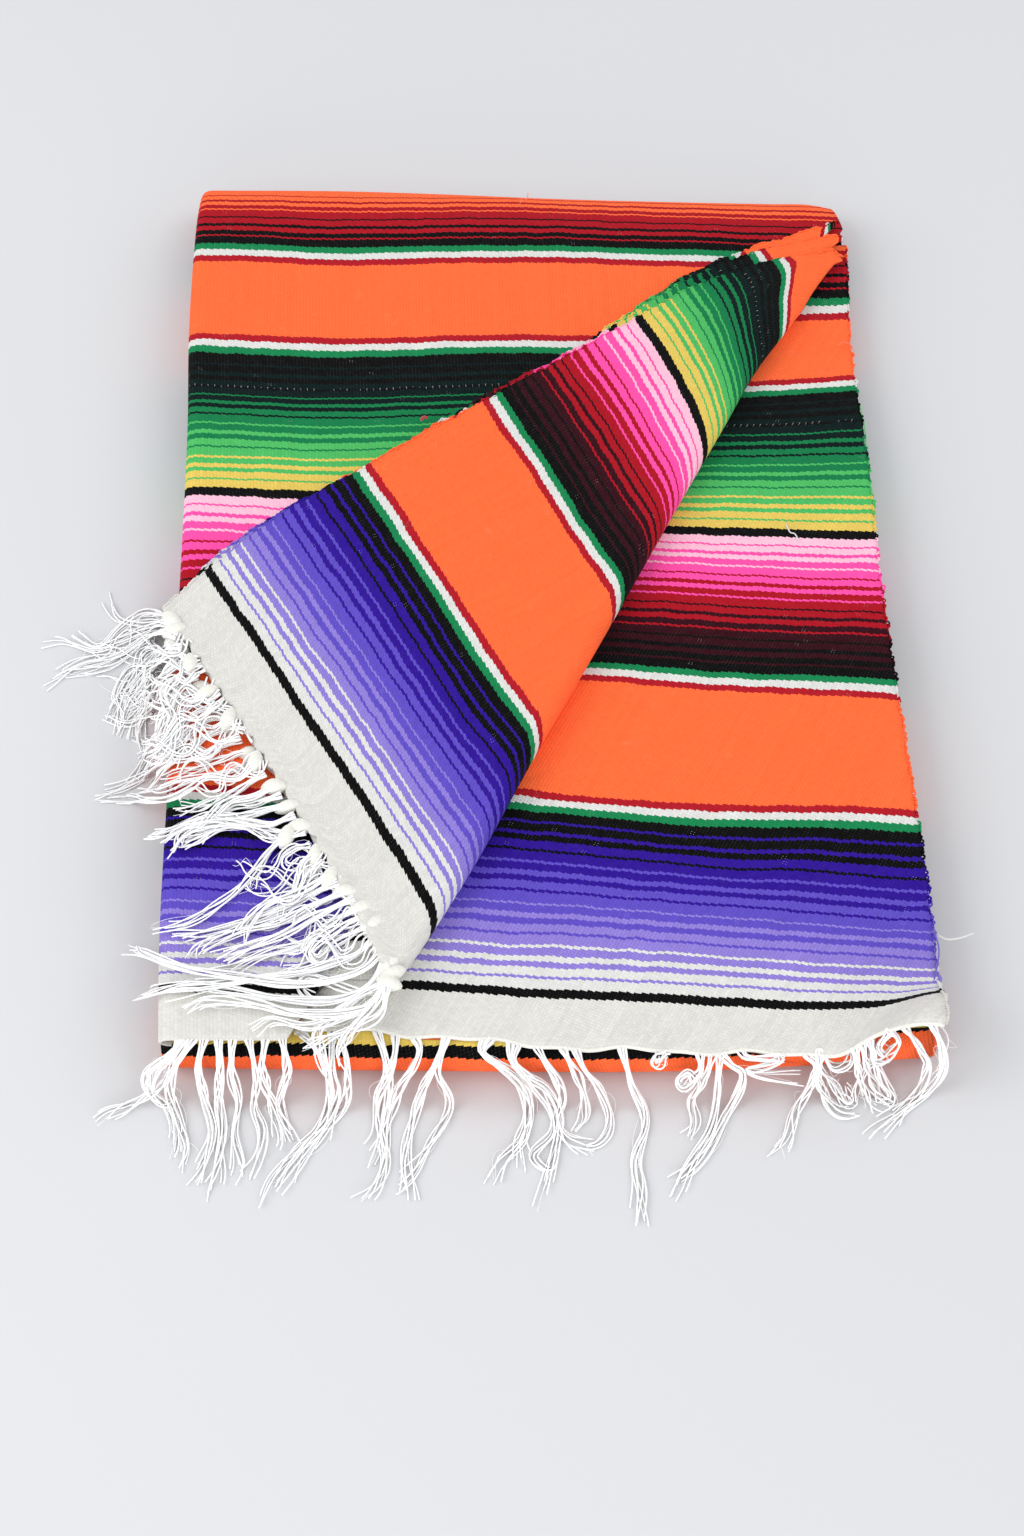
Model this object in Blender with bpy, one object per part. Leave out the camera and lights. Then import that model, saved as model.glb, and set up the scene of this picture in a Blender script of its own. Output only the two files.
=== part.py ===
"""A hand-woven serape, folded into a flat pack with one corner of its upper sheets turned back.

Metres, +Z up. The origin is the middle of the flat underside. The pack's fringed hems face -Y and its
closed far fold faces +Y. Each stretch of cloth that shows is a wall of its own, the plies hidden under
them share one solid, and each row of fringe is a strip with its locks.
"""

import math

import bmesh
import bpy
import numpy as np

# The cloth and how its plies lie on each other
PLY = 0.0020  # thickness of the woven cloth
SEAM = 0.0003  # gap between neighbouring pieces
PITCH = PLY + SEAM
BACK_UNDER = 0.0240  # underside of the back sheet
BACK_TOP = BACK_UNDER + PLY
HIDDEN_TOP = BACK_UNDER - SEAM
FRONT_UNDER = BACK_UNDER + 3 * PITCH  # underside of the front sheet
FRONT_TOP = FRONT_UNDER + PLY

# The pack gets thinner towards its far right corner
THINNING = 0.28
THIN_X = (-0.05, 0.19)
THIN_Y = (-0.05, 0.27)

# Left and right outlines of the pack: y, x
LEFT_OUTLINE = (
    (-0.292, -0.1805),
    (-0.230, -0.1850),
    (-0.143, -0.1880),
    (0.005, -0.1920),
    (0.103, -0.1955),
    (0.163, -0.1993),
    (0.237, -0.2012),
    (0.292, -0.2008),
)
RIGHT_OUTLINE = (
    (-0.292, 0.1975),
    (-0.249, 0.1994),
    (-0.197, 0.1993),
    (-0.129, 0.1965),
    (-0.087, 0.1945),
    (-0.009, 0.1915),
    (0.075, 0.1915),
    (0.128, 0.1897),
    (0.165, 0.1887),
    (0.204, 0.1906),
    (0.255, 0.1915),
    (0.292, 0.1850),
)

# Near and far outlines of the pack: x, y
NEAR_OUTLINE = ((-0.205, -0.2855), (-0.060, -0.2875), (0.080, -0.2875), (0.205, -0.2800))
FAR_OUTLINE = (
    (-0.205, 0.2905),
    (-0.122, 0.2900),
    (0.018, 0.2850),
    (0.106, 0.2845),
    (0.150, 0.2843),
    (0.172, 0.2828),
    (0.192, 0.2750),
)
NEAR_FOLD_REACH = 0.0100
FAR_FOLD_REACH = 0.0420
FAR_FOLD_RISE = FRONT_TOP / 2
SIDE_FOLD_REACH = 0.0060
SIDE_FOLD_RISE = (FRONT_TOP - BACK_UNDER) / 2

# The diagonal along which the upper sheets are turned back, and the directions along and out from it
DIAGONAL_START = np.array((-0.0780, -0.2640))
DIAGONAL_END = np.array((0.1880, 0.2310))
ALONG = (DIAGONAL_END - DIAGONAL_START) / np.linalg.norm(DIAGONAL_END - DIAGONAL_START)
OUTWARD = np.array((ALONG[1], -ALONG[0]))
# Distance along the diagonal, how far the fold stands out from it, and how much wider its roll is
DIAGONAL_BOW = (
    (-0.030, -0.0036, 0.000),
    (0.024, 0.0050, 0.000),
    (0.074, 0.0068, 0.000),
    (0.166, 0.0036, 0.000),
    (0.262, 0.0012, 0.000),
    (0.350, -0.0021, 0.002),
    (0.406, -0.0038, 0.006),
    (0.456, -0.0058, 0.009),
    (0.498, -0.0030, 0.010),
    (0.549, -0.0008, 0.006),
    (0.590, 0.0000, 0.004),
)
LAYER_INNER, LAYER_MIDDLE, LAYER_OUTER = 0, 1, 2
ROLL_HOLLOW = 0.0014
ROLL_CENTRE = FRONT_UNDER + ROLL_HOLLOW + PLY
ROLL_RAISED = ROLL_CENTRE + ROLL_HOLLOW - BACK_UNDER - 4 * PITCH
ROLL_SETTLE = 0.035  # distance over which the raised roll comes down to the plies below
SETTLE_STEPS = 5
FAN_STEP, FAN_ALONG = 0.0055, (0.44, 0.57)  # the inner layers draw back near the tip
LEG_END = -0.0280  # how far the turned sheets run back under themselves
LEG_CUT, LEG_CUT_ALONG = 0.0200, (0.50, 0.56)  # the inner sheet's leg ends early near the tip
LEG_LEAST = 0.0005
BACK_LEFT = -0.0300  # left edge of the back sheet, under the roll
STEP_LINE = -0.0330  # where the hidden plies of the front stack begin

# The turned sheets from hem to tip: distance from the hem, selvedge x and y, direction of the weft in
# degrees, droop of the weft lines towards the roll, and how far the middle and inner sheets peek out
FLAP_ROWS = (
    (-0.014, -0.2065, -0.0430, -57.0, 0.010, 0.000, 0.000),
    (0.000, -0.1955, -0.0320, -57.0, 0.010, 0.000, 0.000),
    (0.026, -0.1755, -0.0100, -57.5, 0.004, 0.003, 0.005),
    (0.078, -0.1398, 0.0257, -58.5, 0.000, 0.002, 0.004),
    (0.130, -0.0975, 0.0560, -59.3, 0.000, 0.001, 0.003),
    (0.2125, -0.0250, 0.1070, -59.8, 0.000, 0.003, 0.006),
    (0.285, 0.0330, 0.1490, -60.0, 0.000, 0.002, 0.005),
    (0.321, 0.0635, 0.1730, -60.0, 0.000, 0.003, 0.006),
    (0.374, 0.1030, 0.2025, -62.0, 0.000, 0.006, 0.009),
    (0.430, 0.1490, 0.2230, -68.0, 0.000, 0.011, 0.017),
    (0.470, 0.1790, 0.2330, -68.0, 0.000, 0.012, 0.020),
)
DROOP_FROM = 0.24  # distance across at which a weft line has drooped in full
FLAP_TIP = 0.466

# The back sheet: distance from the hem, y at x = 0, and slope of the weft line
BACK_ROWS = (
    (-0.006, -0.2850, -0.062),
    (0.000, -0.2790, -0.062),
    (0.026, -0.2515, -0.055),
    (0.130, -0.1450, -0.110),
    (0.2125, -0.0620, -0.100),
    (0.321, 0.0295, -0.020),
    (0.435, 0.1190, 0.090),
    (0.504, 0.1780, 0.050),
    (0.560, 0.2280, 0.000),
    (0.600, 0.2520, 0.000),
)
BACK_END = 0.590
# The back hem's right end stands up a little
CURL_X, CURL_DEPTH, CURL_LIFT, CURL_BACK = (0.105, 0.195), 0.045, 0.0070, 0.0060

# The front sheet, and the corner where it widens past the tips of the turned sheets
FRONT_HEM_Y = -0.2810
FRONT_RIGHT = LEG_END - SEAM
CORNER_Y = (0.2255, 0.2555)
FRONT_END_TURN = 0.75 * math.pi

# The hidden plies: places of their sections across the pack, and of the rings at their ends
SECTION_X = (-0.155, -0.121, -0.080, -0.050, -0.025, 0.0, 0.025, 0.050, 0.075, 0.10, 0.125, 0.145, 0.164, 0.178)
STEP_SLOPE = ALONG[1] / ALONG[0]
STEP_Y = (-0.2745, 0.2620)
STEP_RUN = 0.0015
MARGIN = 0.0066  # the left fold of the front sheet wraps round this much of the hidden plies
END_PLIES = 5
END_ROUND, END_GROOVE = 0.0016, 0.0013
END_EYE = 0.10

# Locks of fringe: each is a bundle of yarns
LOCK_WIDTH, LOCK_HEIGHT = 0.0032, 0.0018
LOCK_TIP_WIDTH, LOCK_TIP_HEIGHT = 0.0016, 0.0011
LOCK_STEPS = 8
WALK_STEP = 0.0005
STRIP = 0.0020  # width of the strip that holds the locks' roots
FLOOR_GAP = 0.0004
DROP_START, DROP_WIDTH = 0.0015, 0.0150
ROOT_EASE = 0.0120

# Each lock of the back hem: x of its root, heading and bend in degrees, and length
BACK_LOCKS = (
    (-0.1030, -84, -20, 0.085),
    (-0.0890, -92, 0, 0.090),
    (-0.0740, -88, -6, 0.084),
    (-0.0585, -92, 0, 0.092),
    (-0.0404, -96, 8, 0.088),
    (-0.0232, -96, 6, 0.090),
    (-0.0105, -94, 2, 0.086),
    (0.0042, -93, 4, 0.090),
    (0.0160, -90, 2, 0.078),
    (0.0285, -84, -8, 0.070),
    (0.0429, -84, 10, 0.092),
    (0.0535, -80, 6, 0.055),
    (0.0660, -78, 4, 0.048),
    (0.0830, -90, -6, 0.060),
    (0.0935, -97, -10, 0.092),
    (0.1212, -94, -12, 0.072),
    (0.1340, -97, -10, 0.078),
    (0.1450, -92, -6, 0.048),
    (0.1555, -88, -14, 0.054),
    (0.1660, -84, -26, 0.060),
    (0.1760, -82, -32, 0.066),
    (0.1865, -84, -34, 0.070),
    (0.1950, -82, -34, 0.064),
)
# Each lock of the front hem, as above
FRONT_LOCKS = (
    (-0.1720, -138, 40, 0.084),
    (-0.1640, -124, 32, 0.088),
    (-0.1550, -113, 22, 0.090),
    (-0.1450, -104, 14, 0.084),
    (-0.1350, -98, 8, 0.090),
    (-0.1250, -93, -2, 0.086),
)
# Rows of locks on the turned corner: how many, heading and bend in degrees at the selvedge end and at
# the roll end, how much the heading swings from lock to lock, length, and heights above the cloth and
# above the ground
OUTER_ROW = (24, (196, 208), (16, -26), 2.2, 0.088, 0.0050, 0.0030)
INNER_ROW = (18, (190, 214), (16, -12), 2.0, 0.080, 0.0004, FLOOR_GAP)

# Plain colours of the solids: red, green, blue and roughness
CREAM = (0.87, 0.86, 0.79, 0.95)
ORANGE = (0.95, 0.16, 0.05, 0.90)
BLUE = (0.10, 0.06, 0.62, 0.90)
GREEN = (0.02, 0.25, 0.08, 0.90)
PINK = (0.95, 0.09, 0.35, 0.90)


def ramp(value, start, end):
    """0 before start, 1 after end, and a smooth rise between them."""
    part = np.clip((np.asarray(value, float) - start) / (end - start), 0, 1)
    return part * part * (3 - 2 * part)


def through(rows, at):
    """The columns of a table at the places given, on a smooth curve through its rows."""
    table = np.array(rows, float)
    key, values = table[:, 0], table[:, 1:]
    slope = np.gradient(values, key, axis=0)
    at = np.clip(np.asarray(at, float), key[0], key[-1])
    row = np.clip(np.searchsorted(key, at) - 1, 0, len(key) - 2)
    span = (key[row + 1] - key[row])[..., None]
    part = (at - key[row])[..., None] / span
    before = values[row] * (1 + 2 * part) + slope[row] * span * part
    after = values[row + 1] * (3 - 2 * part) - slope[row + 1] * span * (1 - part)
    return np.moveaxis(before * (1 - part) ** 2 + after * part**2, -1, 0)


def settled(x, y, z):
    """Points of an even pack, lowered where the real one is thinner."""
    thin = THINNING * ramp(x, *THIN_X) * ramp(y, *THIN_Y)
    return np.stack(np.broadcast_arrays(x, y, z * (1 - thin)), -1)


def arc_length(turn, reach, rise, steps=24):
    """Length of a half ellipse from its top to this angle."""
    turn, reach, rise = np.broadcast_arrays(np.asarray(turn, float), reach, rise)
    angles = turn[..., None] * np.linspace(0, 1, steps)
    across = np.diff(reach[..., None] * np.sin(angles), axis=-1)
    down = np.diff(rise[..., None] * np.cos(angles), axis=-1)
    return np.hypot(across, down).sum(-1)


def arc_angle(length, reach, rise):
    """The angle reached by going this length round a half ellipse from its top."""
    turn = np.asarray(length, float) * 0
    for _ in range(12):
        pace = np.hypot(reach * np.cos(turn), rise * np.sin(turn))
        turn = turn + (length - arc_length(turn, reach, rise)) / pace
        turn = np.clip(turn, 0, math.pi)
    return turn


def along_and_out(x, y):
    """Plan coordinates along the diagonal and out from it."""
    dx, dy = x - DIAGONAL_START[0], y - DIAGONAL_START[1]
    return dx * ALONG[0] + dy * ALONG[1], dx * OUTWARD[0] + dy * OUTWARD[1]


def diagonal_x(out, y):
    """x at this y of the line that runs beside the diagonal at this distance out."""
    return DIAGONAL_START[0] + (out - (y - DIAGONAL_START[1]) * OUTWARD[1]) / OUTWARD[0]


def layer_radius(layer):
    return ROLL_HOLLOW + PLY + layer * PITCH


def roll(layer, along):
    """How far out a layer's roll has its middle, its reach to each side, and its rise."""
    bow, extra = through(DIAGONAL_BOW, along)
    fan = (LAYER_OUTER - layer) * FAN_STEP * ramp(along, *FAN_ALONG)
    rise = layer_radius(layer) - ROLL_RAISED / 2 * ramp(fan, 0, ROLL_SETTLE)
    return bow - layer_radius(LAYER_OUTER) - extra - fan, layer_radius(layer) + extra, rise


def flap_rates(weft):
    """How fast a weft line runs along the diagonal and out from it."""
    along_rate = np.cos(weft) * ALONG[0] + np.sin(weft) * ALONG[1]
    out_rate = np.cos(weft) * OUTWARD[0] + np.sin(weft) * OUTWARD[1]
    return along_rate, out_rate


def flap_crossing(layer, s, m):
    """Plan place of a point m out from the top of the roll on the weft line at s from the hem."""
    edge_x, edge_y, weft, droop = through(FLAP_ROWS, s)[:4]
    weft = np.radians(weft)
    out_rate = flap_rates(weft)[1]
    across = np.zeros(s.shape)
    for _ in range(8):
        sink = droop * np.clip(across / DROOP_FROM, 0, 1.2) ** 3
        x = edge_x + across * np.cos(weft) + sink * np.sin(weft)
        y = edge_y + across * np.sin(weft) - sink * np.cos(weft)
        along, out = along_and_out(x, y)
        across = across + (m + roll(layer, along)[0] - out) / out_rate
    return along, out


def flap_point(layer, s, m, turn=0.0, leg=0.0, depth=0.0):
    """A point of a turned sheet, s from its hem and depth under the surface that shows.

    m is how far it lies out from the top of the roll, 0 or less, turn its angle round the roll, and leg
    how far it lies back under the roll."""
    s, m, turn, leg = np.broadcast_arrays(*(np.asarray(value, float) for value in (s, m, turn, leg)))
    along_rate, out_rate = flap_rates(np.radians(through(FLAP_ROWS, s)[2]))
    top_along, out = flap_crossing(layer, s, m)
    along = top_along
    for _ in range(4):
        middle, reach, rise = roll(layer, along)
        along = top_along + (arc_length(turn, reach, rise) + leg) * along_rate / out_rate
    rolled = turn > 0
    out = np.where(rolled, middle + (reach - depth) * np.sin(turn) - leg, out)
    x = DIAGONAL_START[0] + along * ALONG[0] + out * OUTWARD[0]
    y = DIAGONAL_START[1] + along * ALONG[1] + out * OUTWARD[1]
    level = BACK_UNDER + (4 + layer) * PITCH + PLY
    raised = ROLL_RAISED * (1 - ramp(roll(LAYER_OUTER, along)[0] - out, 0, ROLL_SETTLE))
    under = ROLL_CENTRE - layer_radius(layer)
    z = np.where(rolled, under + rise + (rise - depth) * np.cos(turn), level + raised - depth)
    return settled(x, y, z)


def flap_span(layer, s):
    """Where a row of a turned sheet starts, how far it turns, and how far it runs back under."""
    edge_x, edge_y, weft, _, middle_peek, inner_peek = through(FLAP_ROWS, s)
    peek = (inner_peek, middle_peek, 0)[layer]
    weft = np.radians(weft)
    along_rate, out_rate = flap_rates(weft)
    edge_along, out = along_and_out(edge_x - peek * np.cos(weft), edge_y - peek * np.sin(weft))
    start = np.minimum(out - roll(layer, edge_along)[0], -LEG_LEAST)
    top_along = flap_crossing(layer, s, np.zeros(s.shape))[0]
    along = top_along
    for _ in range(8):
        middle, reach, rise = roll(layer, along)
        leg_end = LEG_END + LEG_CUT * ramp(along, *LEG_CUT_ALONG) * (layer == LAYER_INNER)
        turn = math.pi - np.arcsin(np.clip((leg_end - middle) / reach, 0, 1))
        leg = np.maximum(middle - leg_end, LEG_LEAST)
        along = top_along + (arc_length(turn, reach, rise) + leg) * along_rate / out_rate
    return start, turn, leg


def flap_grid(layer, s, flat_steps, turn_steps, depth):
    """Points of a turned sheet at the rows s."""
    start, turn, leg = (value[:, None] for value in flap_span(layer, s))
    settling = np.minimum(ROLL_SETTLE, -start * 0.6)
    flat = start + (-settling - start) * np.linspace(0, 1, flat_steps)
    near_roll = -settling * np.linspace(1, 0, SETTLE_STEPS + 1)[1:]
    turns = turn * np.linspace(0, 1, turn_steps + 1)[1:]
    legs = leg * np.array((0.5, 1.0))
    m = np.concatenate((flat, near_roll, turns * 0, legs * 0), 1)
    turns = np.concatenate((flat * 0, near_roll * 0, turns, legs * 0 + turn), 1)
    legs = np.concatenate((m[:, : m.shape[1] - 2] * 0, legs), 1)
    return flap_point(layer, s[:, None], m, turns, legs, depth)


def back_point(s, u, depth=0.0):
    """A point of the back sheet: s from the hem, u from 0 under the roll to 1 at the selvedge."""
    middle_y, slope = through(BACK_ROWS, s)
    y = middle_y
    for _ in range(4):
        left = diagonal_x(BACK_LEFT, y)
        x = left + u * (through(RIGHT_OUTLINE, y)[0] - left)
        y = middle_y + slope * x
    curl = ramp(x, *CURL_X) * (1 - ramp(s, 0, CURL_DEPTH))
    return settled(x, y + CURL_BACK * curl, BACK_TOP - depth + CURL_LIFT * curl)


def over_far_fold(x, s, under):
    """y and z at the distance s from the front hem, at a depth under the front stack's surface."""
    fold_y = through(FAR_OUTLINE, x)[0] - FAR_FOLD_REACH
    rolled = np.maximum(FRONT_HEM_Y + s - fold_y, 0)
    turn = arc_angle(rolled, FAR_FOLD_REACH, FAR_FOLD_RISE)
    y = np.where(rolled > 0, fold_y + (FAR_FOLD_REACH - under) * np.sin(turn), FRONT_HEM_Y + s)
    return y, FAR_FOLD_RISE + (FAR_FOLD_RISE - under) * np.cos(turn)


def front_point(s, w, depth=0.0):
    """A point of the front sheet: s from the hem, w from -1 to 0 round its left fold, and from 0 to 1
    across its top."""
    s, w = np.broadcast_arrays(np.asarray(s, float), np.asarray(w, float))
    y = FRONT_HEM_Y + s
    left = through(LEFT_OUTLINE, y)[0]
    right = diagonal_x(FRONT_RIGHT, np.minimum(y, CORNER_Y[0]))
    widening = np.clip((y - CORNER_Y[0]) / (CORNER_Y[1] - CORNER_Y[0]), 0, 1)
    right = right + widening * (through(RIGHT_OUTLINE, y)[0] - right)
    turn = np.clip(-w, 0, 1) * math.pi
    middle = left + SIDE_FOLD_REACH
    x = middle - (SIDE_FOLD_REACH - depth) * np.sin(turn) + np.clip(w, 0, 1) * (right - middle)
    under = SIDE_FOLD_RISE - (SIDE_FOLD_RISE - depth) * np.cos(turn)
    return settled(x, *over_far_fold(x, s, under))


def front_rows(flat_steps, turn_steps):
    """Distances from the front hem at which its rows lie."""
    fold = through(FAR_OUTLINE, 0.0)[0] - FAR_FOLD_REACH - FRONT_HEM_Y
    turns = FRONT_END_TURN * np.linspace(0, 1, turn_steps + 1)[1:]
    round_fold = fold + arc_length(turns, FAR_FOLD_REACH, FAR_FOLD_RISE)
    return np.concatenate((np.linspace(0, fold, flat_steps + 1), round_fold))


def hidden_section(place, cover, size=1.0, inset=0.0, side=0):
    """One closed section of the hidden plies, from the near fold over the top to the underside.

    place is its nominal x, cover the depth of cloth over it, size 1 for the outline and less for the
    plies seen at an end, and side -1 or 1 puts it inset from the left or right outline."""
    near = through(NEAR_OUTLINE, place)[0] + NEAR_FOLD_REACH
    far = through(FAR_OUTLINE, place)[0] - FAR_FOLD_REACH
    near_rise = HIDDEN_TOP / 2
    top = FRONT_TOP - cover
    step = np.clip(STEP_Y[0] + (place - diagonal_x(STEP_LINE, STEP_Y[0])) * STEP_SLOPE, *STEP_Y)
    turns = np.linspace(0, math.pi, 9)
    y = list(near - NEAR_FOLD_REACH * np.sin(turns))
    z = list(near_rise - near_rise * np.cos(turns))
    y += list(np.linspace(near, step, 12)[1:])
    z += [HIDDEN_TOP] * 11
    reach, rise = FAR_FOLD_REACH - cover - 2 * SEAM, FAR_FOLD_RISE - cover
    first = math.asin(np.clip((step + STEP_RUN - far) / reach, 0, 0.9))
    if first == 0:
        y += list(np.linspace(step + STEP_RUN, far, 9)[:-1])
        z += [top] * 8
        turns = np.linspace(0, 0.92 * math.pi, 20)
    else:
        turns = np.linspace(first, 0.92 * math.pi, 28)
    y += list(far + reach * np.sin(turns))
    z += list(FAR_FOLD_RISE + rise * np.cos(turns))
    under = np.linspace(y[-1] - 0.004, near, 6)[:-1]
    y += list(under)
    z += [0.0] * len(under)
    y, z = np.array(y), np.array(z)
    eye_y = np.clip(y, near, far)
    eye_z = near_rise + (FAR_FOLD_RISE - near_rise) * ramp(eye_y, near, far)
    y, z = eye_y + (y - eye_y) * size, eye_z + (z - eye_z) * size
    if side < 0:
        x = through(LEFT_OUTLINE, y)[0] + inset
    elif side > 0:
        x = through(RIGHT_OUTLINE, y)[0] - inset
    else:
        x = np.full(y.shape, place)
    return settled(x, y, z)


def end_rings(place, cover, side):
    """Rings from the outline of an end to its middle: a rounded edge, then a ridge for each ply."""
    rings = []
    for ply in range(END_PLIES):
        outer = 1 - (1 - END_EYE) * ply / END_PLIES
        crest = 1 - (1 - END_EYE) * (ply + 0.5) / END_PLIES
        rings.append(hidden_section(place, cover, outer, END_ROUND if ply == 0 else END_GROOVE, side))
        rings.append(hidden_section(place, cover, crest, 0.0, side))
    rings.append(hidden_section(place, cover, END_EYE, END_GROOVE, side))
    return rings


def hidden_rings():
    """All rings of the hidden plies, from the middle of the left end to the middle of the right."""
    left_place, right_place = LEFT_OUTLINE[0][1], RIGHT_OUTLINE[0][1]
    wrapped = 2 * (SIDE_FOLD_RISE + SEAM)
    rings = end_rings(left_place, wrapped, -1)[::-1]
    rings.append(hidden_section(left_place, wrapped, inset=MARGIN, side=-1))
    rings.append(hidden_section(left_place, PITCH, inset=MARGIN + SEAM, side=-1))
    rings += [hidden_section(x, PITCH) for x in SECTION_X]
    return rings + end_rings(right_place, PITCH, 1)


def drape_height(x, y, top, lift, floor):
    """Height of a lock's middle where it lies on the pack or hangs down beside it to the floor."""
    outside = np.maximum(through(LEFT_OUTLINE, y)[0] - x, through(NEAR_OUTLINE, x)[0] - y)
    start = DROP_START + lift
    fall = ramp(outside, start, start + DROP_WIDTH)
    return (top + lift) * (1 - fall) + floor * fall + LOCK_HEIGHT / 2


def lock_path(root, heading, bend, length, top, lift, floor):
    """Middles and directions of a lock's rings, walked out from its root over what lies below."""
    x, y, z = root
    points = [(x, y, z)]
    gone = 0.0
    while gone < length:
        angle = math.radians(heading + bend * gone / length)
        ahead_x, ahead_y = x + WALK_STEP * math.cos(angle), y + WALK_STEP * math.sin(angle)
        ease = float(ramp(gone, 0, ROOT_EASE))
        height = float(drape_height(ahead_x, ahead_y, top, lift, floor))
        ahead_z = root[2] + (height - root[2]) * ease
        gone += math.dist((x, y, z), (ahead_x, ahead_y, ahead_z))
        x, y, z = ahead_x, ahead_y, ahead_z
        points.append((x, y, z))
    points = np.array(points)
    run = np.concatenate(([0.0], np.cumsum(np.linalg.norm(np.diff(points, axis=0), axis=1))))
    at = np.linspace(0, length, LOCK_STEPS + 1)
    return np.stack([np.interp(at, run, points[:, axis]) for axis in range(3)], 1)


def lock_rings(path):
    """Four-cornered rings round a lock's path: outer top, inner top, inner bottom, outer bottom."""
    rings = []
    for step in range(1, len(path)):
        ahead = path[min(step + 1, len(path) - 1)] - path[step - 1]
        ahead = ahead / np.linalg.norm(ahead)
        side = np.cross(ahead, (0, 0, 1))
        side = side / np.linalg.norm(side)
        up = np.cross(side, ahead)
        part = step / (len(path) - 1)
        wide = side * (LOCK_WIDTH + (LOCK_TIP_WIDTH - LOCK_WIDTH) * part) / 2
        high = up * (LOCK_HEIGHT + (LOCK_TIP_HEIGHT - LOCK_HEIGHT) * part) / 2
        middle = path[step]
        rings.append([middle - wide + high, middle + wide + high, middle + wide - high, middle - wide - high])
    return rings


def mesh_object(name, colour, points, faces, collection):
    """An object from points and faces, with its faces turned outwards."""
    mesh = bpy.data.meshes.new(name)
    mesh.from_pydata([tuple(point) for point in points], [], faces)
    shape = bmesh.new()
    shape.from_mesh(mesh)
    bmesh.ops.recalc_face_normals(shape, faces=shape.faces)
    if shape.calc_volume(signed=True) < 0:
        bmesh.ops.reverse_faces(shape, faces=shape.faces)
    shape.to_mesh(mesh)
    shape.free()
    mesh.shade_smooth()
    mesh.set_sharp_from_angle(angle=math.radians(40))
    material = bpy.data.materials.new(name)
    material.use_nodes = True
    shader = material.node_tree.nodes["Principled BSDF"]
    shader.inputs["Base Color"].default_value = (*colour[:3], 1)
    shader.inputs["Roughness"].default_value = colour[3]
    mesh.materials.append(material)
    obj = bpy.data.objects.new(name, mesh)
    collection.objects.link(obj)
    return obj


def wall(name, colour, upper, lower, collection):
    """A wall between two grids of points that have the same rows and columns."""
    rows, columns = upper.shape[:2]
    count = rows * columns
    points = np.concatenate((upper.reshape(-1, 3), lower.reshape(-1, 3)))
    faces = []
    for row in range(rows - 1):
        for column in range(columns - 1):
            a = row * columns + column
            quad = (a, a + 1, a + 1 + columns, a + columns)
            faces.append(quad)
            faces.append(tuple(count + corner for corner in reversed(quad)))
    rim = list(range(columns))
    rim += [row * columns + columns - 1 for row in range(1, rows)]
    rim += [count - 1 - column for column in range(1, columns)]
    rim += [row * columns for row in range(rows - 2, 0, -1)]
    for here, there in zip(rim, rim[1:] + rim[:1]):
        faces.append((there, here, here + count, there + count))
    return mesh_object(name, colour, points, faces, collection)


def loft(name, colour, rings, collection):
    """A closed solid through rings that have the same number of points."""
    points = np.concatenate(rings)
    size = len(rings[0])
    faces = [tuple(range(size)), tuple(range(len(points) - size, len(points)))]
    for ring in range(len(rings) - 1):
        for corner in range(size):
            a, b = ring * size + corner, ring * size + (corner + 1) % size
            faces.append((a, b, b + size, a + size))
    return mesh_object(name, colour, points, faces, collection)


def fringe(name, colour, edge, places, roots, route, collection):
    """A strip along a hem with a lock at each root.

    edge(place, out, depth) gives the strip's points: place along the hem, out from the cloth and depth
    under its upper side. places are the strip's ends and bends, roots the places of its locks, and
    route(place, middle) the way of a lock."""
    across = places[-1] - places[0]
    columns = [(place, None) for place in places]
    for root in roots:
        step = edge(root + across * 1e-3, 0, 0) - edge(root - across * 1e-3, 0, 0)
        half = across * 1e-3 * LOCK_WIDTH / np.linalg.norm(step)
        columns += [(root - half, root), (root + half, None)]
    columns.sort(key=lambda column: column[0] * across)
    points, faces = [], []
    for place, _ in columns:
        corners = ((SEAM, 0), (SEAM + STRIP, 0), (SEAM + STRIP, PLY), (SEAM, PLY))
        points += [edge(place, out, depth) for out, depth in corners]
    for number, (_, root) in enumerate(columns[:-1]):
        a, b = 4 * number, 4 * number + 4
        faces += [(a, a + 1, b + 1, b), (a + 2, a + 3, b + 3, b + 2), (a + 3, a, b, b + 3)]
        if root is None:
            faces.append((a + 1, a + 2, b + 2, b + 1))
            continue
        ring = [a + 1, b + 1, b + 2, a + 2]
        middle = sum(points[corner] for corner in ring) / 4
        root_side = points[b + 1] - points[a + 1]
        for corners in lock_rings(route(root, middle)):
            if np.dot(corners[1] - corners[0], root_side) < 0:
                corners = [corners[1], corners[0], corners[3], corners[2]]
            following = list(range(len(points), len(points) + 4))
            points += corners
            for corner in range(4):
                after = (corner + 1) % 4
                faces.append((ring[corner], ring[after], following[after], following[corner]))
            ring = following
        faces.append(tuple(ring))
    last = 4 * (len(columns) - 1)
    faces += [(0, 1, 2, 3), (last + 3, last + 2, last + 1, last)]
    return mesh_object(name, colour, points, faces, collection)


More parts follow.
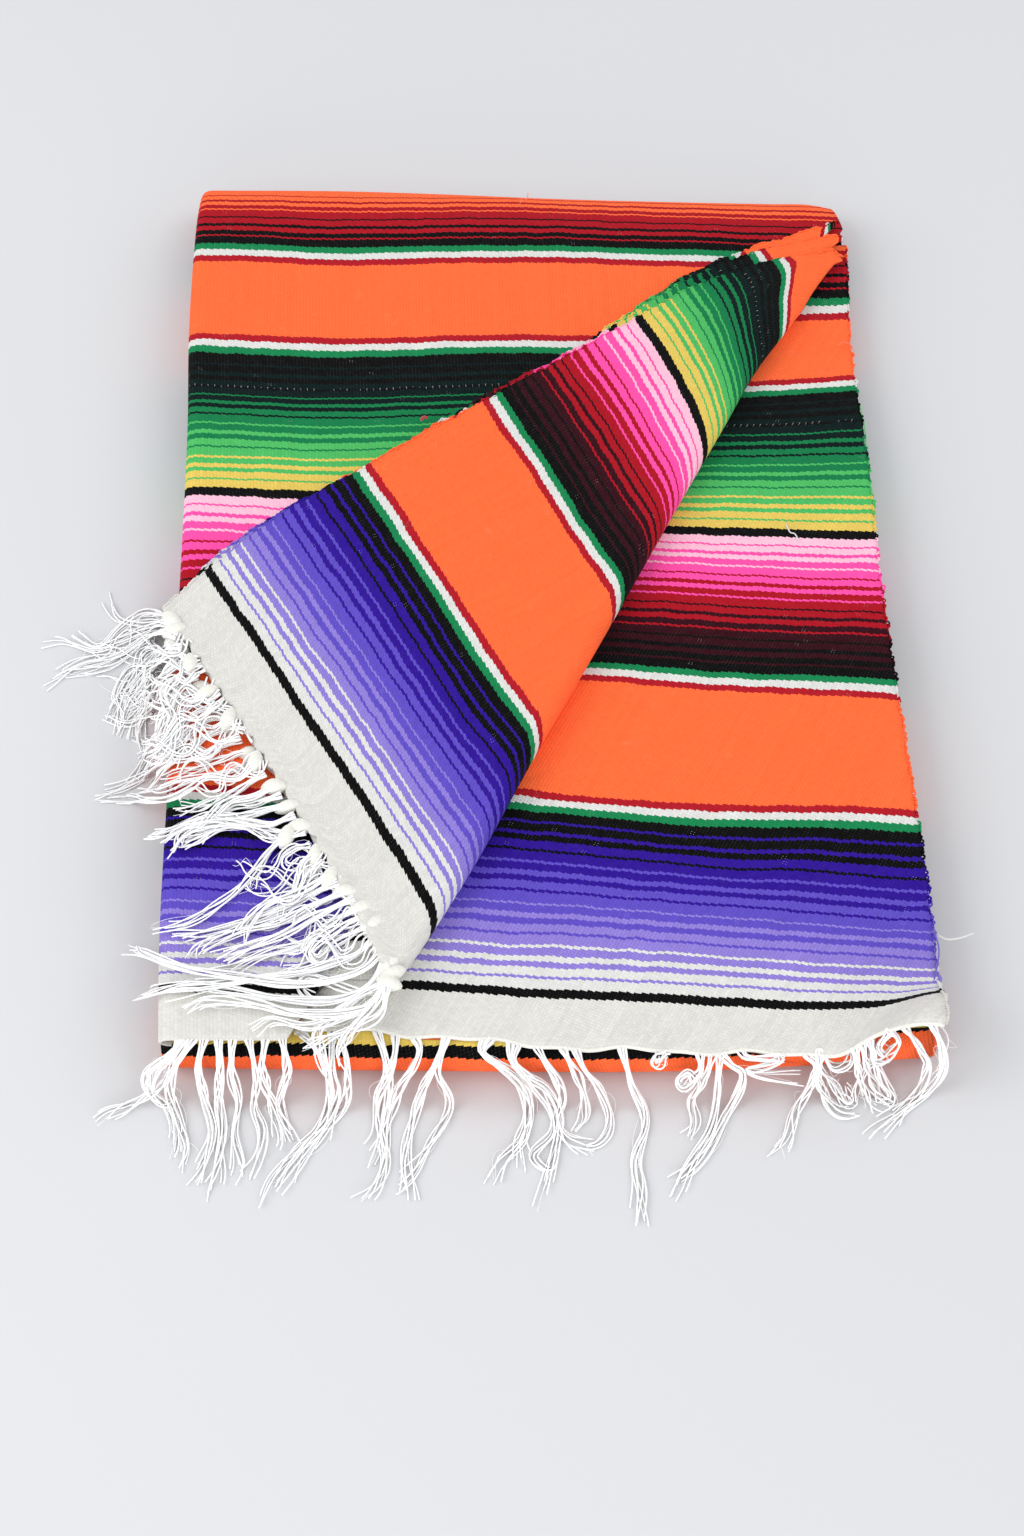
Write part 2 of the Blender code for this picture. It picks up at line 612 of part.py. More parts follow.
def make_sheets(collection):
    """The stretches of cloth that show."""
    s = np.linspace(0, BACK_END, 20)[:, None]
    u = np.linspace(0, 1, 22)[None, :]
    wall("back_sheet", BLUE, back_point(s, u), back_point(s, u, PLY), collection)

    s = front_rows(15, 15)[:, None]
    across = (0.10, 0.23, 0.37, 0.51, 0.65, 0.78, 0.88, 0.935, 0.97, 1.0)
    w = np.concatenate((np.linspace(-1, 0, 7), across))[None, :]
    wall("front_sheet", GREEN, front_point(s, w), front_point(s, w, PLY), collection)

    s = np.linspace(0, FLAP_TIP, 18)
    sheets = (
        ("turned_sheet_inner", ORANGE, LAYER_INNER, 6),
        ("turned_sheet_middle", PINK, LAYER_MIDDLE, 6),
        ("turned_sheet_outer", ORANGE, LAYER_OUTER, 8),
    )
    for name, colour, layer, flat_steps in sheets:
        upper = flap_grid(layer, s, flat_steps, 6, 0.0)
        lower = flap_grid(layer, s, flat_steps, 6, PLY)
        wall(name, colour, upper, lower, collection)


def make_turned_fringe(name, layer, row, collection):
    """A row of locks along the hem of a turned sheet."""
    count, headings, bends, swing, length, lift, floor = row
    start = float(flap_span(layer, np.zeros(1))[0][0])
    radius = layer_radius(layer)
    roots = list(np.linspace(start * 0.975, start * 0.03, count))

    def edge(place, out, depth):
        return flap_point(layer, -out, min(place, 0), max(place, 0) / radius, 0.0, depth)

    def route(place, middle):
        part = (place - roots[0]) / (roots[-1] - roots[0])
        number = round(part * (count - 1))
        heading = headings[0] + (headings[1] - headings[0]) * part + swing * (-1) ** number
        bend = bends[0] + (bends[1] - bends[0]) * part
        reach = length * (0.9 + 0.1 * math.cos(2.4 * number))
        return lock_path(middle, heading, bend, reach, FRONT_TOP, lift, floor)

    round_roll = radius * math.pi * np.arange(4) / 6
    fringe(name, CREAM, edge, [start, *round_roll], roots, route, collection)


def make_hem_fringe(name, point, locks, top, collection):
    """The locks of a table along a hem whose points run from 0 to 1."""
    left, right = point(0.0, 0.0)[0], point(0.0, 1.0)[0]
    table = {(x - left) / (right - left): way for x, *way in locks}

    def edge(place, out, depth):
        return point(-out, place, depth)

    def route(place, middle):
        heading, bend, length = table[place]
        return lock_path(middle, heading, bend, length, top, 0.0, FLOOR_GAP)

    fringe(name, CREAM, edge, [0.0, 1.0], list(table), route, collection)


def main():
    for obj in list(bpy.data.objects):
        bpy.data.objects.remove(obj)
    collection = bpy.data.collections.new("serape")
    bpy.context.scene.collection.children.link(collection)
    loft("hidden_plies", ORANGE, hidden_rings(), collection)
    make_sheets(collection)
    make_hem_fringe("fringe_back", back_point, BACK_LOCKS, BACK_UNDER, collection)
    make_hem_fringe("fringe_front", front_point, FRONT_LOCKS, FRONT_UNDER, collection)
    make_turned_fringe("fringe_turned_inner", LAYER_INNER, INNER_ROW, collection)
    make_turned_fringe("fringe_turned_outer", LAYER_OUTER, OUTER_ROW, collection)


main()
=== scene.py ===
"""The looks of the folded serape: its cloth as thin shells, its yarn fringe, and the studio.

Metres, +Z up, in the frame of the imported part. The sheets are worked out from the part's own sizes, with
more points and with low swells, puckers, a wavy hem and loops of weft at the selvedges.
"""

import math
import random

import bpy
import numpy as np
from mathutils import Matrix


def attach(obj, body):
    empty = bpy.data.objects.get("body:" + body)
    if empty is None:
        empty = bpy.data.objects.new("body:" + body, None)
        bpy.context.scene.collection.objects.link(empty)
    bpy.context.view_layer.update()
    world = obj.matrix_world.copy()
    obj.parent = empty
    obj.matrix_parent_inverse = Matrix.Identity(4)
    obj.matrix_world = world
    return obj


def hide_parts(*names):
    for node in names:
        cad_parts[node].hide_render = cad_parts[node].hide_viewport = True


SEED = 41
ORDER = random.Random(SEED)  # every random draw comes from here
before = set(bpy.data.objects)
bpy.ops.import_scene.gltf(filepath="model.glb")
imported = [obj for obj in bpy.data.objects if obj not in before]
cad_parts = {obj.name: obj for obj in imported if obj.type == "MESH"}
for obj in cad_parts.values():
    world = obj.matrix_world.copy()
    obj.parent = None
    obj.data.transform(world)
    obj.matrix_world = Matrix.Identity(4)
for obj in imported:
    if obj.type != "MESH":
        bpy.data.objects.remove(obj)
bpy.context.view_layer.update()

# The cloth and how its plies lie on each other
PLY = 0.0020  # thickness of the woven cloth
SEAM = 0.0003  # gap between neighbouring pieces
PITCH = PLY + SEAM
BACK_UNDER = 0.0240  # underside of the back sheet
BACK_TOP = BACK_UNDER + PLY
HIDDEN_TOP = BACK_UNDER - SEAM
FRONT_UNDER = BACK_UNDER + 3 * PITCH  # underside of the front sheet
FRONT_TOP = FRONT_UNDER + PLY

# The pack gets thinner towards its far right corner
THINNING = 0.28
THIN_X = (-0.05, 0.19)
THIN_Y = (-0.05, 0.27)

# Left and right outlines of the pack: y, x
LEFT_OUTLINE = (
    (-0.292, -0.1805),
    (-0.230, -0.1850),
    (-0.143, -0.1880),
    (0.005, -0.1920),
    (0.103, -0.1955),
    (0.163, -0.1993),
    (0.237, -0.2012),
    (0.292, -0.2008),
)
RIGHT_OUTLINE = (
    (-0.292, 0.1975),
    (-0.249, 0.1994),
    (-0.197, 0.1993),
    (-0.129, 0.1965),
    (-0.087, 0.1945),
    (-0.009, 0.1915),
    (0.075, 0.1915),
    (0.128, 0.1897),
    (0.165, 0.1887),
    (0.204, 0.1906),
    (0.255, 0.1915),
    (0.292, 0.1850),
)

# Near and far outlines of the pack: x, y
NEAR_OUTLINE = ((-0.205, -0.2855), (-0.060, -0.2875), (0.080, -0.2875), (0.205, -0.2800))
FAR_OUTLINE = (
    (-0.205, 0.2905),
    (-0.122, 0.2900),
    (0.018, 0.2850),
    (0.106, 0.2845),
    (0.150, 0.2845),
    (0.176, 0.2840),
    (0.192, 0.2795),
)
NEAR_FOLD_REACH = 0.0100
FAR_FOLD_REACH = 0.0420
FAR_FOLD_RISE = FRONT_TOP / 2
SIDE_FOLD_REACH = 0.0060
SIDE_FOLD_RISE = (FRONT_TOP - BACK_UNDER) / 2

# The diagonal along which the upper sheets are turned back, and the directions along and out from it
DIAGONAL_START = np.array((-0.0780, -0.2640))
DIAGONAL_END = np.array((0.1880, 0.2310))
ALONG = (DIAGONAL_END - DIAGONAL_START) / np.linalg.norm(DIAGONAL_END - DIAGONAL_START)
OUTWARD = np.array((ALONG[1], -ALONG[0]))
# Distance along the diagonal, how far the fold stands out from it, and how much wider its roll is
DIAGONAL_BOW = (
    (-0.030, -0.0036, 0.000),
    (0.024, 0.0050, 0.000),
    (0.074, 0.0068, 0.000),
    (0.166, 0.0036, 0.000),
    (0.262, 0.0012, 0.000),
    (0.350, -0.0021, 0.002),
    (0.406, -0.0038, 0.006),
    (0.456, -0.0058, 0.009),
    (0.498, -0.0030, 0.010),
    (0.549, -0.0008, 0.006),
    (0.590, 0.0000, 0.004),
)
LAYER_INNER, LAYER_MIDDLE, LAYER_OUTER = 0, 1, 2
ROLL_HOLLOW = 0.0014
ROLL_CENTRE = FRONT_UNDER + ROLL_HOLLOW + PLY
ROLL_RAISED = ROLL_CENTRE + ROLL_HOLLOW - BACK_UNDER - 4 * PITCH
ROLL_SETTLE = 0.035  # distance over which the raised roll comes down to the plies below
FAN_STEP, FAN_ALONG = 0.0055, (0.44, 0.57)  # the inner layers draw back near the tip
LEG_END = -0.0280  # how far the turned sheets run back under themselves
LEG_CUT, LEG_CUT_ALONG = 0.0200, (0.50, 0.56)  # the inner sheet's leg ends early near the tip
LEG_LEAST = 0.0005
BACK_LEFT = -0.0300  # left edge of the back sheet, under the roll
STEP_LINE = -0.0330  # where the hidden plies of the front stack begin

# The turned sheets from hem to tip: distance from the hem, selvedge x and y, direction of the weft in
# degrees, droop of the weft lines towards the roll, and how far the middle and inner sheets peek out
FLAP_ROWS = (
    (-0.014, -0.2065, -0.0430, -57.0, 0.010, 0.000, 0.000),
    (0.000, -0.1955, -0.0320, -57.0, 0.010, 0.000, 0.000),
    (0.026, -0.1755, -0.0100, -57.5, 0.004, 0.003, 0.005),
    (0.078, -0.1398, 0.0257, -58.5, 0.000, 0.002, 0.004),
    (0.130, -0.0975, 0.0560, -59.3, 0.000, 0.001, 0.003),
    (0.2125, -0.0250, 0.1070, -59.8, 0.000, 0.003, 0.006),
    (0.285, 0.0330, 0.1490, -60.0, 0.000, 0.002, 0.005),
    (0.321, 0.0635, 0.1730, -60.0, 0.000, 0.005, 0.008),
    (0.374, 0.1030, 0.2025, -62.0, 0.000, 0.008, 0.012),
    (0.430, 0.1490, 0.2230, -68.0, 0.000, 0.012, 0.018),
    (0.470, 0.1790, 0.2330, -68.0, 0.000, 0.012, 0.020),
)
DROOP_FROM, DROOP_MOST = 0.24, 1.2  # distance across at which a weft line has drooped in full, and past it

# The back sheet: distance from the hem, y at x = 0, and slope of the weft line
BACK_ROWS = (
    (-0.006, -0.2850, -0.062),
    (0.000, -0.2790, -0.062),
    (0.026, -0.2515, -0.055),
    (0.130, -0.1450, -0.110),
    (0.2125, -0.0620, -0.100),
    (0.321, 0.0295, -0.020),
    (0.435, 0.1190, 0.090),
    (0.504, 0.1780, 0.050),
    (0.560, 0.2280, 0.000),
    (0.600, 0.2520, 0.000),
)
BACK_END = 0.590
# The back hem's right end stands up a little
CURL_X, CURL_DEPTH, CURL_LIFT, CURL_BACK = (0.105, 0.195), 0.045, 0.0070, 0.0060

# The front sheet, and the corner where it widens past the tips of the turned sheets
FRONT_HEM_Y = -0.2810
FRONT_RIGHT = LEG_END - SEAM
CORNER_Y = (0.2255, 0.2555)
FRONT_END_TURN = 0.75 * math.pi

# The hidden plies: the step in their top, and the ridges of the plies at their ends
STEP_SLOPE = ALONG[1] / ALONG[0]
STEP_Y = (-0.2745, 0.2620)
STEP_RUN = 0.0015
STEP_LAST = 0.9  # sine of the turn round the far fold at which the step stops
MARGIN = 0.0066  # the left fold of the front sheet wraps round this much of the hidden plies
END_PLIES, END_STEPS = 7, 8  # ridges at an end, and rings for each
END_ROUND, END_DEPTH = 0.0016, 0.0026
END_EYE = 0.10
# Points of a section round the near fold, on the back and the front plies, round the far fold, and below
NEAR_STEPS, TOP_STEPS, STACK_STEPS, FAR_STEPS, UNDER_STEPS = 9, 12, 9, 20, 6
FAR_TURN = 0.92 * math.pi
UNDER_START = 0.0040

# Rounds in which places that hang on each other are worked out
ARC_ROUNDS, WEFT_ROUNDS, PLACE_ROUNDS, LAID_ROUNDS = 12, 8, 4, 16
ARC_POINTS = 24  # points at which a half ellipse is measured
FULL_TURN = 6.283  # the angle of a full turn
TINY = 1e-9

# The camera, and its focal length and the frame's middle in pixels of the photograph
VIEW_PLACE, VIEW_TILT = (-0.010, -0.695, 1.012), math.radians(30.0)
LENS, SENSOR = 51.23, 36.0
FOCAL = 2186.0
MIDDLE_X, MIDDLE_Y = 512, 768


def ramp(value, start, end):
    """0 before start, 1 after end, and a smooth rise between them."""
    part = np.clip((np.asarray(value, float) - start) / (end - start), 0, 1)
    return part * part * (3 - 2 * part)


def through(rows, at):
    """The columns of a table at the places given, on a smooth curve through its rows."""
    table = np.array(rows, float)
    key, values = table[:, 0], table[:, 1:]
    slope = np.gradient(values, key, axis=0)
    at = np.clip(np.asarray(at, float), key[0], key[-1])
    row = np.clip(np.searchsorted(key, at) - 1, 0, len(key) - 2)
    span = (key[row + 1] - key[row])[..., None]
    part = (at - key[row])[..., None] / span
    before = values[row] * (1 + 2 * part) + slope[row] * span * part
    after = values[row + 1] * (3 - 2 * part) - slope[row + 1] * span * (1 - part)
    return np.moveaxis(before * (1 - part) ** 2 + after * part**2, -1, 0)


# Low swells of the whole pack: along x, along y, turn of the wave, and height
SWELLS = ((9.0, 14.0, 0.6, 0.00035), (23.0, -11.0, 2.1, 0.00022), (-31.0, 27.0, 4.0, 0.00016))
SWELL_MOST = 1.3


def settled(x, y, z):
    """Points of an even pack, lowered where the real one is thinner, with its low swells."""
    thin = THINNING * ramp(x, *THIN_X) * ramp(y, *THIN_Y)
    swell = sum(high * np.sin(a * x + b * y + turn) for a, b, turn, high in SWELLS)
    part = np.clip(z / FRONT_TOP, 0, SWELL_MOST)
    return np.stack(np.broadcast_arrays(x, y, z * (1 - thin) + swell * part), -1)


def arc_length(turn, reach, rise):
    """Length of a half ellipse from its top to this angle."""
    turn, reach, rise = np.broadcast_arrays(np.asarray(turn, float), reach, rise)
    angles = turn[..., None] * np.linspace(0, 1, ARC_POINTS)
    across = np.diff(reach[..., None] * np.sin(angles), axis=-1)
    down = np.diff(rise[..., None] * np.cos(angles), axis=-1)
    return np.hypot(across, down).sum(-1)


def arc_angle(length, reach, rise):
    """The angle reached by going this length round a half ellipse from its top."""
    turn = np.asarray(length, float) * 0
    for _ in range(ARC_ROUNDS):
        pace = np.hypot(reach * np.cos(turn), rise * np.sin(turn))
        turn = turn + (length - arc_length(turn, reach, rise)) / pace
        turn = np.clip(turn, 0, math.pi)
    return turn


def along_and_out(x, y):
    """Plan coordinates along the diagonal and out from it."""
    dx, dy = x - DIAGONAL_START[0], y - DIAGONAL_START[1]
    return dx * ALONG[0] + dy * ALONG[1], dx * OUTWARD[0] + dy * OUTWARD[1]


def diagonal_x(out, y):
    """x at this y of the line that runs beside the diagonal at this distance out."""
    return DIAGONAL_START[0] + (out - (y - DIAGONAL_START[1]) * OUTWARD[1]) / OUTWARD[0]


def layer_radius(layer):
    """Radius of a layer's roll at its surface."""
    return ROLL_HOLLOW + PLY + layer * PITCH


def roll(layer, along):
    """How far out a layer's roll has its middle, its reach to each side, and its rise."""
    bow, extra = through(DIAGONAL_BOW, along)
    fan = (LAYER_OUTER - layer) * FAN_STEP * ramp(along, *FAN_ALONG)
    rise = layer_radius(layer) - ROLL_RAISED / 2 * ramp(fan, 0, ROLL_SETTLE)
    return bow - layer_radius(LAYER_OUTER) - extra - fan, layer_radius(layer) + extra, rise


def flap_rates(weft):
    """How fast a weft line runs along the diagonal and out from it."""
    along_rate = np.cos(weft) * ALONG[0] + np.sin(weft) * ALONG[1]
    out_rate = np.cos(weft) * OUTWARD[0] + np.sin(weft) * OUTWARD[1]
    return along_rate, out_rate


def flap_crossing(layer, s, m):
    """Plan place of a point m out from the top of the roll on the weft line at s from the hem."""
    edge_x, edge_y, weft, droop = through(FLAP_ROWS, s)[:4]
    weft = np.radians(weft)
    out_rate = flap_rates(weft)[1]
    across = np.zeros(s.shape)
    for _ in range(WEFT_ROUNDS):
        sink = droop * np.clip(across / DROOP_FROM, 0, DROOP_MOST) ** 3
        x = edge_x + across * np.cos(weft) + sink * np.sin(weft)
        y = edge_y + across * np.sin(weft) - sink * np.cos(weft)
        along, out = along_and_out(x, y)
        across = across + (m + roll(layer, along)[0] - out) / out_rate
    return along, out


def flap_point(layer, s, m, turn=0.0, leg=0.0, depth=0.0):
    """A point of a turned sheet, s from its hem and depth under the surface that shows.

    m is how far it lies out from the top of the roll, 0 or less, turn its angle round the roll, and leg
    how far it lies back under the roll."""
    s, m, turn, leg = np.broadcast_arrays(*(np.asarray(value, float) for value in (s, m, turn, leg)))
    along_rate, out_rate = flap_rates(np.radians(through(FLAP_ROWS, s)[2]))
    top_along, out = flap_crossing(layer, s, m)
    along = top_along
    for _ in range(PLACE_ROUNDS):
        middle, reach, rise = roll(layer, along)
        along = top_along + (arc_length(turn, reach, rise) + leg) * along_rate / out_rate
    rolled = turn > 0
    out = np.where(rolled, middle + (reach - depth) * np.sin(turn) - leg, out)
    x = DIAGONAL_START[0] + along * ALONG[0] + out * OUTWARD[0]
    y = DIAGONAL_START[1] + along * ALONG[1] + out * OUTWARD[1]
    level = BACK_UNDER + (4 + layer) * PITCH + PLY
    raised = ROLL_RAISED * (1 - ramp(roll(LAYER_OUTER, along)[0] - out, 0, ROLL_SETTLE))
    under = ROLL_CENTRE - layer_radius(layer)
    z = np.where(rolled, under + rise + (rise - depth) * np.cos(turn), level + raised - depth)
    return settled(x, y, z)


def flap_span(layer, s):
    """Where a row of a turned sheet starts, how far it turns, and how far it runs back under."""
    edge_x, edge_y, weft, _, middle_peek, inner_peek = through(FLAP_ROWS, s)
    peek = (inner_peek, middle_peek, 0)[layer]
    weft = np.radians(weft)
    along_rate, out_rate = flap_rates(weft)
    edge_along, out = along_and_out(edge_x - peek * np.cos(weft), edge_y - peek * np.sin(weft))
    start = np.minimum(out - roll(layer, edge_along)[0], -LEG_LEAST)
    top_along = flap_crossing(layer, s, np.zeros(s.shape))[0]
    along = top_along
    for _ in range(WEFT_ROUNDS):
        middle, reach, rise = roll(layer, along)
        leg_end = LEG_END + LEG_CUT * ramp(along, *LEG_CUT_ALONG) * (layer == LAYER_INNER)
        turn = math.pi - np.arcsin(np.clip((leg_end - middle) / reach, 0, 1))
        leg = np.maximum(middle - leg_end, LEG_LEAST)
        along = top_along + (arc_length(turn, reach, rise) + leg) * along_rate / out_rate
    return start, turn, leg


def back_point(s, u, depth=0.0):
    """A point of the back sheet: s from the hem, u from 0 under the roll to 1 at the selvedge."""
    middle_y, slope = through(BACK_ROWS, s)
    y = middle_y
    for _ in range(PLACE_ROUNDS):
        left = diagonal_x(BACK_LEFT, y)
        x = left + u * (through(RIGHT_OUTLINE, y)[0] - left)
        y = middle_y + slope * x
    curl = ramp(x, *CURL_X) * (1 - ramp(s, 0, CURL_DEPTH))
    return settled(x, y + CURL_BACK * curl, BACK_TOP - depth + CURL_LIFT * curl)


def over_far_fold(x, s, under):
    """y and z at the distance s from the front hem, at a depth under the front stack's surface."""
    fold_y = through(FAR_OUTLINE, x)[0] - FAR_FOLD_REACH
    rolled = np.maximum(FRONT_HEM_Y + s - fold_y, 0)
    turn = arc_angle(rolled, FAR_FOLD_REACH, FAR_FOLD_RISE)
    y = np.where(rolled > 0, fold_y + (FAR_FOLD_REACH - under) * np.sin(turn), FRONT_HEM_Y + s)
    return y, FAR_FOLD_RISE + (FAR_FOLD_RISE - under) * np.cos(turn)


def front_point(s, w, depth=0.0):
    """A point of the front sheet: s from the hem, w from -1 to 0 round its left fold, and from 0 to 1
    across its top."""
    s, w = np.broadcast_arrays(np.asarray(s, float), np.asarray(w, float))
    y = FRONT_HEM_Y + s
    left = through(LEFT_OUTLINE, y)[0]
    right = diagonal_x(FRONT_RIGHT, np.minimum(y, CORNER_Y[0]))
    widening = np.clip((y - CORNER_Y[0]) / (CORNER_Y[1] - CORNER_Y[0]), 0, 1)
    right = right + widening * (through(RIGHT_OUTLINE, y)[0] - right)
    turn = np.clip(-w, 0, 1) * math.pi
    middle = left + SIDE_FOLD_REACH
    x = middle - (SIDE_FOLD_REACH - depth) * np.sin(turn) + np.clip(w, 0, 1) * (right - middle)
    under = SIDE_FOLD_RISE - (SIDE_FOLD_RISE - depth) * np.cos(turn)
    return settled(x, *over_far_fold(x, s, under))


def front_rows(flat_steps, turn_steps):
    """Distances from the front hem at which its rows lie."""
    fold = through(FAR_OUTLINE, 0.0)[0] - FAR_FOLD_REACH - FRONT_HEM_Y
    turns = FRONT_END_TURN * np.linspace(0, 1, turn_steps + 1)[1:]
    round_fold = fold + arc_length(turns, FAR_FOLD_REACH, FAR_FOLD_RISE)
    return np.concatenate((np.linspace(0, fold, flat_steps + 1), round_fold))


def hidden_section(place, cover, size=1.0, inset=0.0, side=0):
    """One closed section of the hidden plies, from the near fold over the top to the underside.

    place is its nominal x, cover the depth of cloth over it, size 1 for the outline and less for the
    plies seen at an end, and side -1 or 1 puts it inset from the left or right outline."""
    near = through(NEAR_OUTLINE, place)[0] + NEAR_FOLD_REACH
    far = through(FAR_OUTLINE, place)[0] - FAR_FOLD_REACH
    near_rise = HIDDEN_TOP / 2
    step = np.clip(STEP_Y[0] + (place - diagonal_x(STEP_LINE, STEP_Y[0])) * STEP_SLOPE, *STEP_Y)
    turns = np.linspace(0, math.pi, NEAR_STEPS)
    y = list(near - NEAR_FOLD_REACH * np.sin(turns))
    z = list(near_rise - near_rise * np.cos(turns))
    y += list(np.linspace(near, step, TOP_STEPS)[1:])
    z += [HIDDEN_TOP] * (TOP_STEPS - 1)
    reach, rise = FAR_FOLD_REACH - cover - 2 * SEAM, FAR_FOLD_RISE - cover
    first = math.asin(np.clip((step + STEP_RUN - far) / reach, 0, STEP_LAST))
    stack = STACK_STEPS - 1 if first == 0 else 0
    y += list(np.linspace(step + STEP_RUN, far, STACK_STEPS)[:stack])
    z += [FRONT_TOP - cover] * stack
    turns = np.linspace(first, FAR_TURN, FAR_STEPS + STACK_STEPS - 1 - stack)
    y += list(far + reach * np.sin(turns))
    z += list(FAR_FOLD_RISE + rise * np.cos(turns))
    y += list(np.linspace(y[-1] - UNDER_START, near, UNDER_STEPS)[:-1])
    z += [0.0] * (UNDER_STEPS - 1)
    y, z = np.array(y), np.array(z)
    eye_y = np.clip(y, near, far)
    eye_z = near_rise + (FAR_FOLD_RISE - near_rise) * ramp(eye_y, near, far)
    y, z = eye_y + (y - eye_y) * size, eye_z + (z - eye_z) * size
    if side < 0:
        x = through(LEFT_OUTLINE, y)[0] + inset
    elif side > 0:
        x = through(RIGHT_OUTLINE, y)[0] - inset
    else:
        x = np.full(y.shape, place)
    return settled(x, y, z)


def distances(path):
    """How far each point of a path lies from its start."""
    return np.concatenate(([0.0], np.cumsum(np.linalg.norm(np.diff(path, axis=0), axis=1))))


def points_at(places, run, path):
    """Points of a path at these places, where run holds the places of its own points."""
    return np.stack([np.interp(places, run, path[:, axis]) for axis in range(3)], 1)


def unit(vectors):
    """Vectors of length 1 with the same directions."""
    return vectors / (np.linalg.norm(vectors, axis=-1, keepdims=True) + TINY)


def picture_place(px, py, z):
    """The point at a height that shows at this place of the photograph's frame."""
    px, py, z = np.broadcast_arrays(px, py, np.asarray(z, float))
    side, up = (px - MIDDLE_X) / FOCAL, (MIDDLE_Y - py) / FOCAL
    ahead_y, ahead_z = math.sin(VIEW_TILT), -math.cos(VIEW_TILT)
    ray = np.stack((side, ahead_y - up * ahead_z, ahead_z + up * ahead_y), -1)
    far = (z - VIEW_PLACE[2]) / ray[..., 2]
    return np.array(VIEW_PLACE) + ray * far[..., None]


def in_picture(points):
    """Where points show in the photograph's frame."""
    side, along, high = np.moveaxis(points - np.array(VIEW_PLACE), -1, 0)
    depth = along * math.sin(VIEW_TILT) - high * math.cos(VIEW_TILT)
    up = along * math.cos(VIEW_TILT) + high * math.sin(VIEW_TILT)
    return MIDDLE_X + FOCAL * side / depth, MIDDLE_Y - FOCAL * up / depth


# Colours and stripes
def linear(red, green, blue):
    """The linear colour of an 8-bit one."""
    values = []
    for value in (red, green, blue):
        part = value / 255
        values.append(part / 12.92 if part <= 0.04045 else ((part + 0.055) / 1.055) ** 2.4)
    return (*values, 1.0)


TONES = {
    "cream": linear(211, 209, 203),
    "white": linear(212, 212, 208),
    "black": linear(5, 5, 6),
    "lavender": linear(139, 122, 205),
    "violet": linear(92, 75, 187),
    "indigo": linear(45, 16, 141),
    "green": linear(20, 128, 76),
    "red": linear(172, 22, 36),
    "orange": linear(255, 106, 56),
    "maroon": linear(50, 6, 19),
    "crimson": linear(168, 15, 31),
    "hot_pink": linear(252, 78, 164),
    "pale_pink": linear(245, 185, 206),
    "yellow": linear(220, 191, 91),
    "light_green": linear(76, 180, 95),
    "mid_green": linear(18, 120, 70),
    "dark_green": linear(2, 24, 23),
}
# Bands from the fringe end: the way they are made, their colours, and where they end
BANDS = (
    ("plain", ("cream",), 0.0240),
    ("plain", ("black",), 0.0285),
    ("graded", ("white", "lavender", "violet", "indigo", "black"), 0.1240),
    ("plain", ("green", "white", "red"), 0.1360),
    ("plain", ("orange",), 0.2060),
    ("plain", ("red", "white", "green"), 0.2190),
    ("graded", ("black", "maroon", "crimson", "hot_pink", "pale_pink"), 0.3180),
    ("plain", ("black",), 0.3240),
    ("graded", ("yellow", "light_green", "mid_green", "dark_green", "black"), 0.4280),
    ("plain", ("green", "white", "red"), 0.4420),
    ("plain", ("orange",), 0.5005),
    ("plain", ("red", "white", "green"), 0.5148),
    ("graded", ("black", "crimson", "orange"), 0.5640),
    ("plain", ("orange",), 0.7000),
    ("plain", ("yellow",), 0.7200),
    ("plain", ("black",), 0.7250),
    ("plain", ("orange",), 0.9000),
)
# Between two wide stripes, widths of the next tone and of this one by turns
STEP_WIDTHS = (1.2, 3.8, 2.9, 2.4, 3.9, 1.2)
WIDE_STRIPE = 4.9


def stripes():
    """Each stripe's start and colour."""
    rows, start = [], 0.0
    for way, tones, end in BANDS:
        run = [(1.0, tone) for tone in tones]
        if way == "graded":
            run = [(WIDE_STRIPE, tones[0])]
            for this, following in zip(tones, tones[1:]):
                run += list(zip(STEP_WIDTHS, (following, this) * 3))
                run.append((WIDE_STRIPE, following))
        scale = (end - start) / sum(width for width, _ in run)
        for width, tone in run:
            rows.append((start, TONES[tone]))
            start += width * scale
        start = end
    return rows


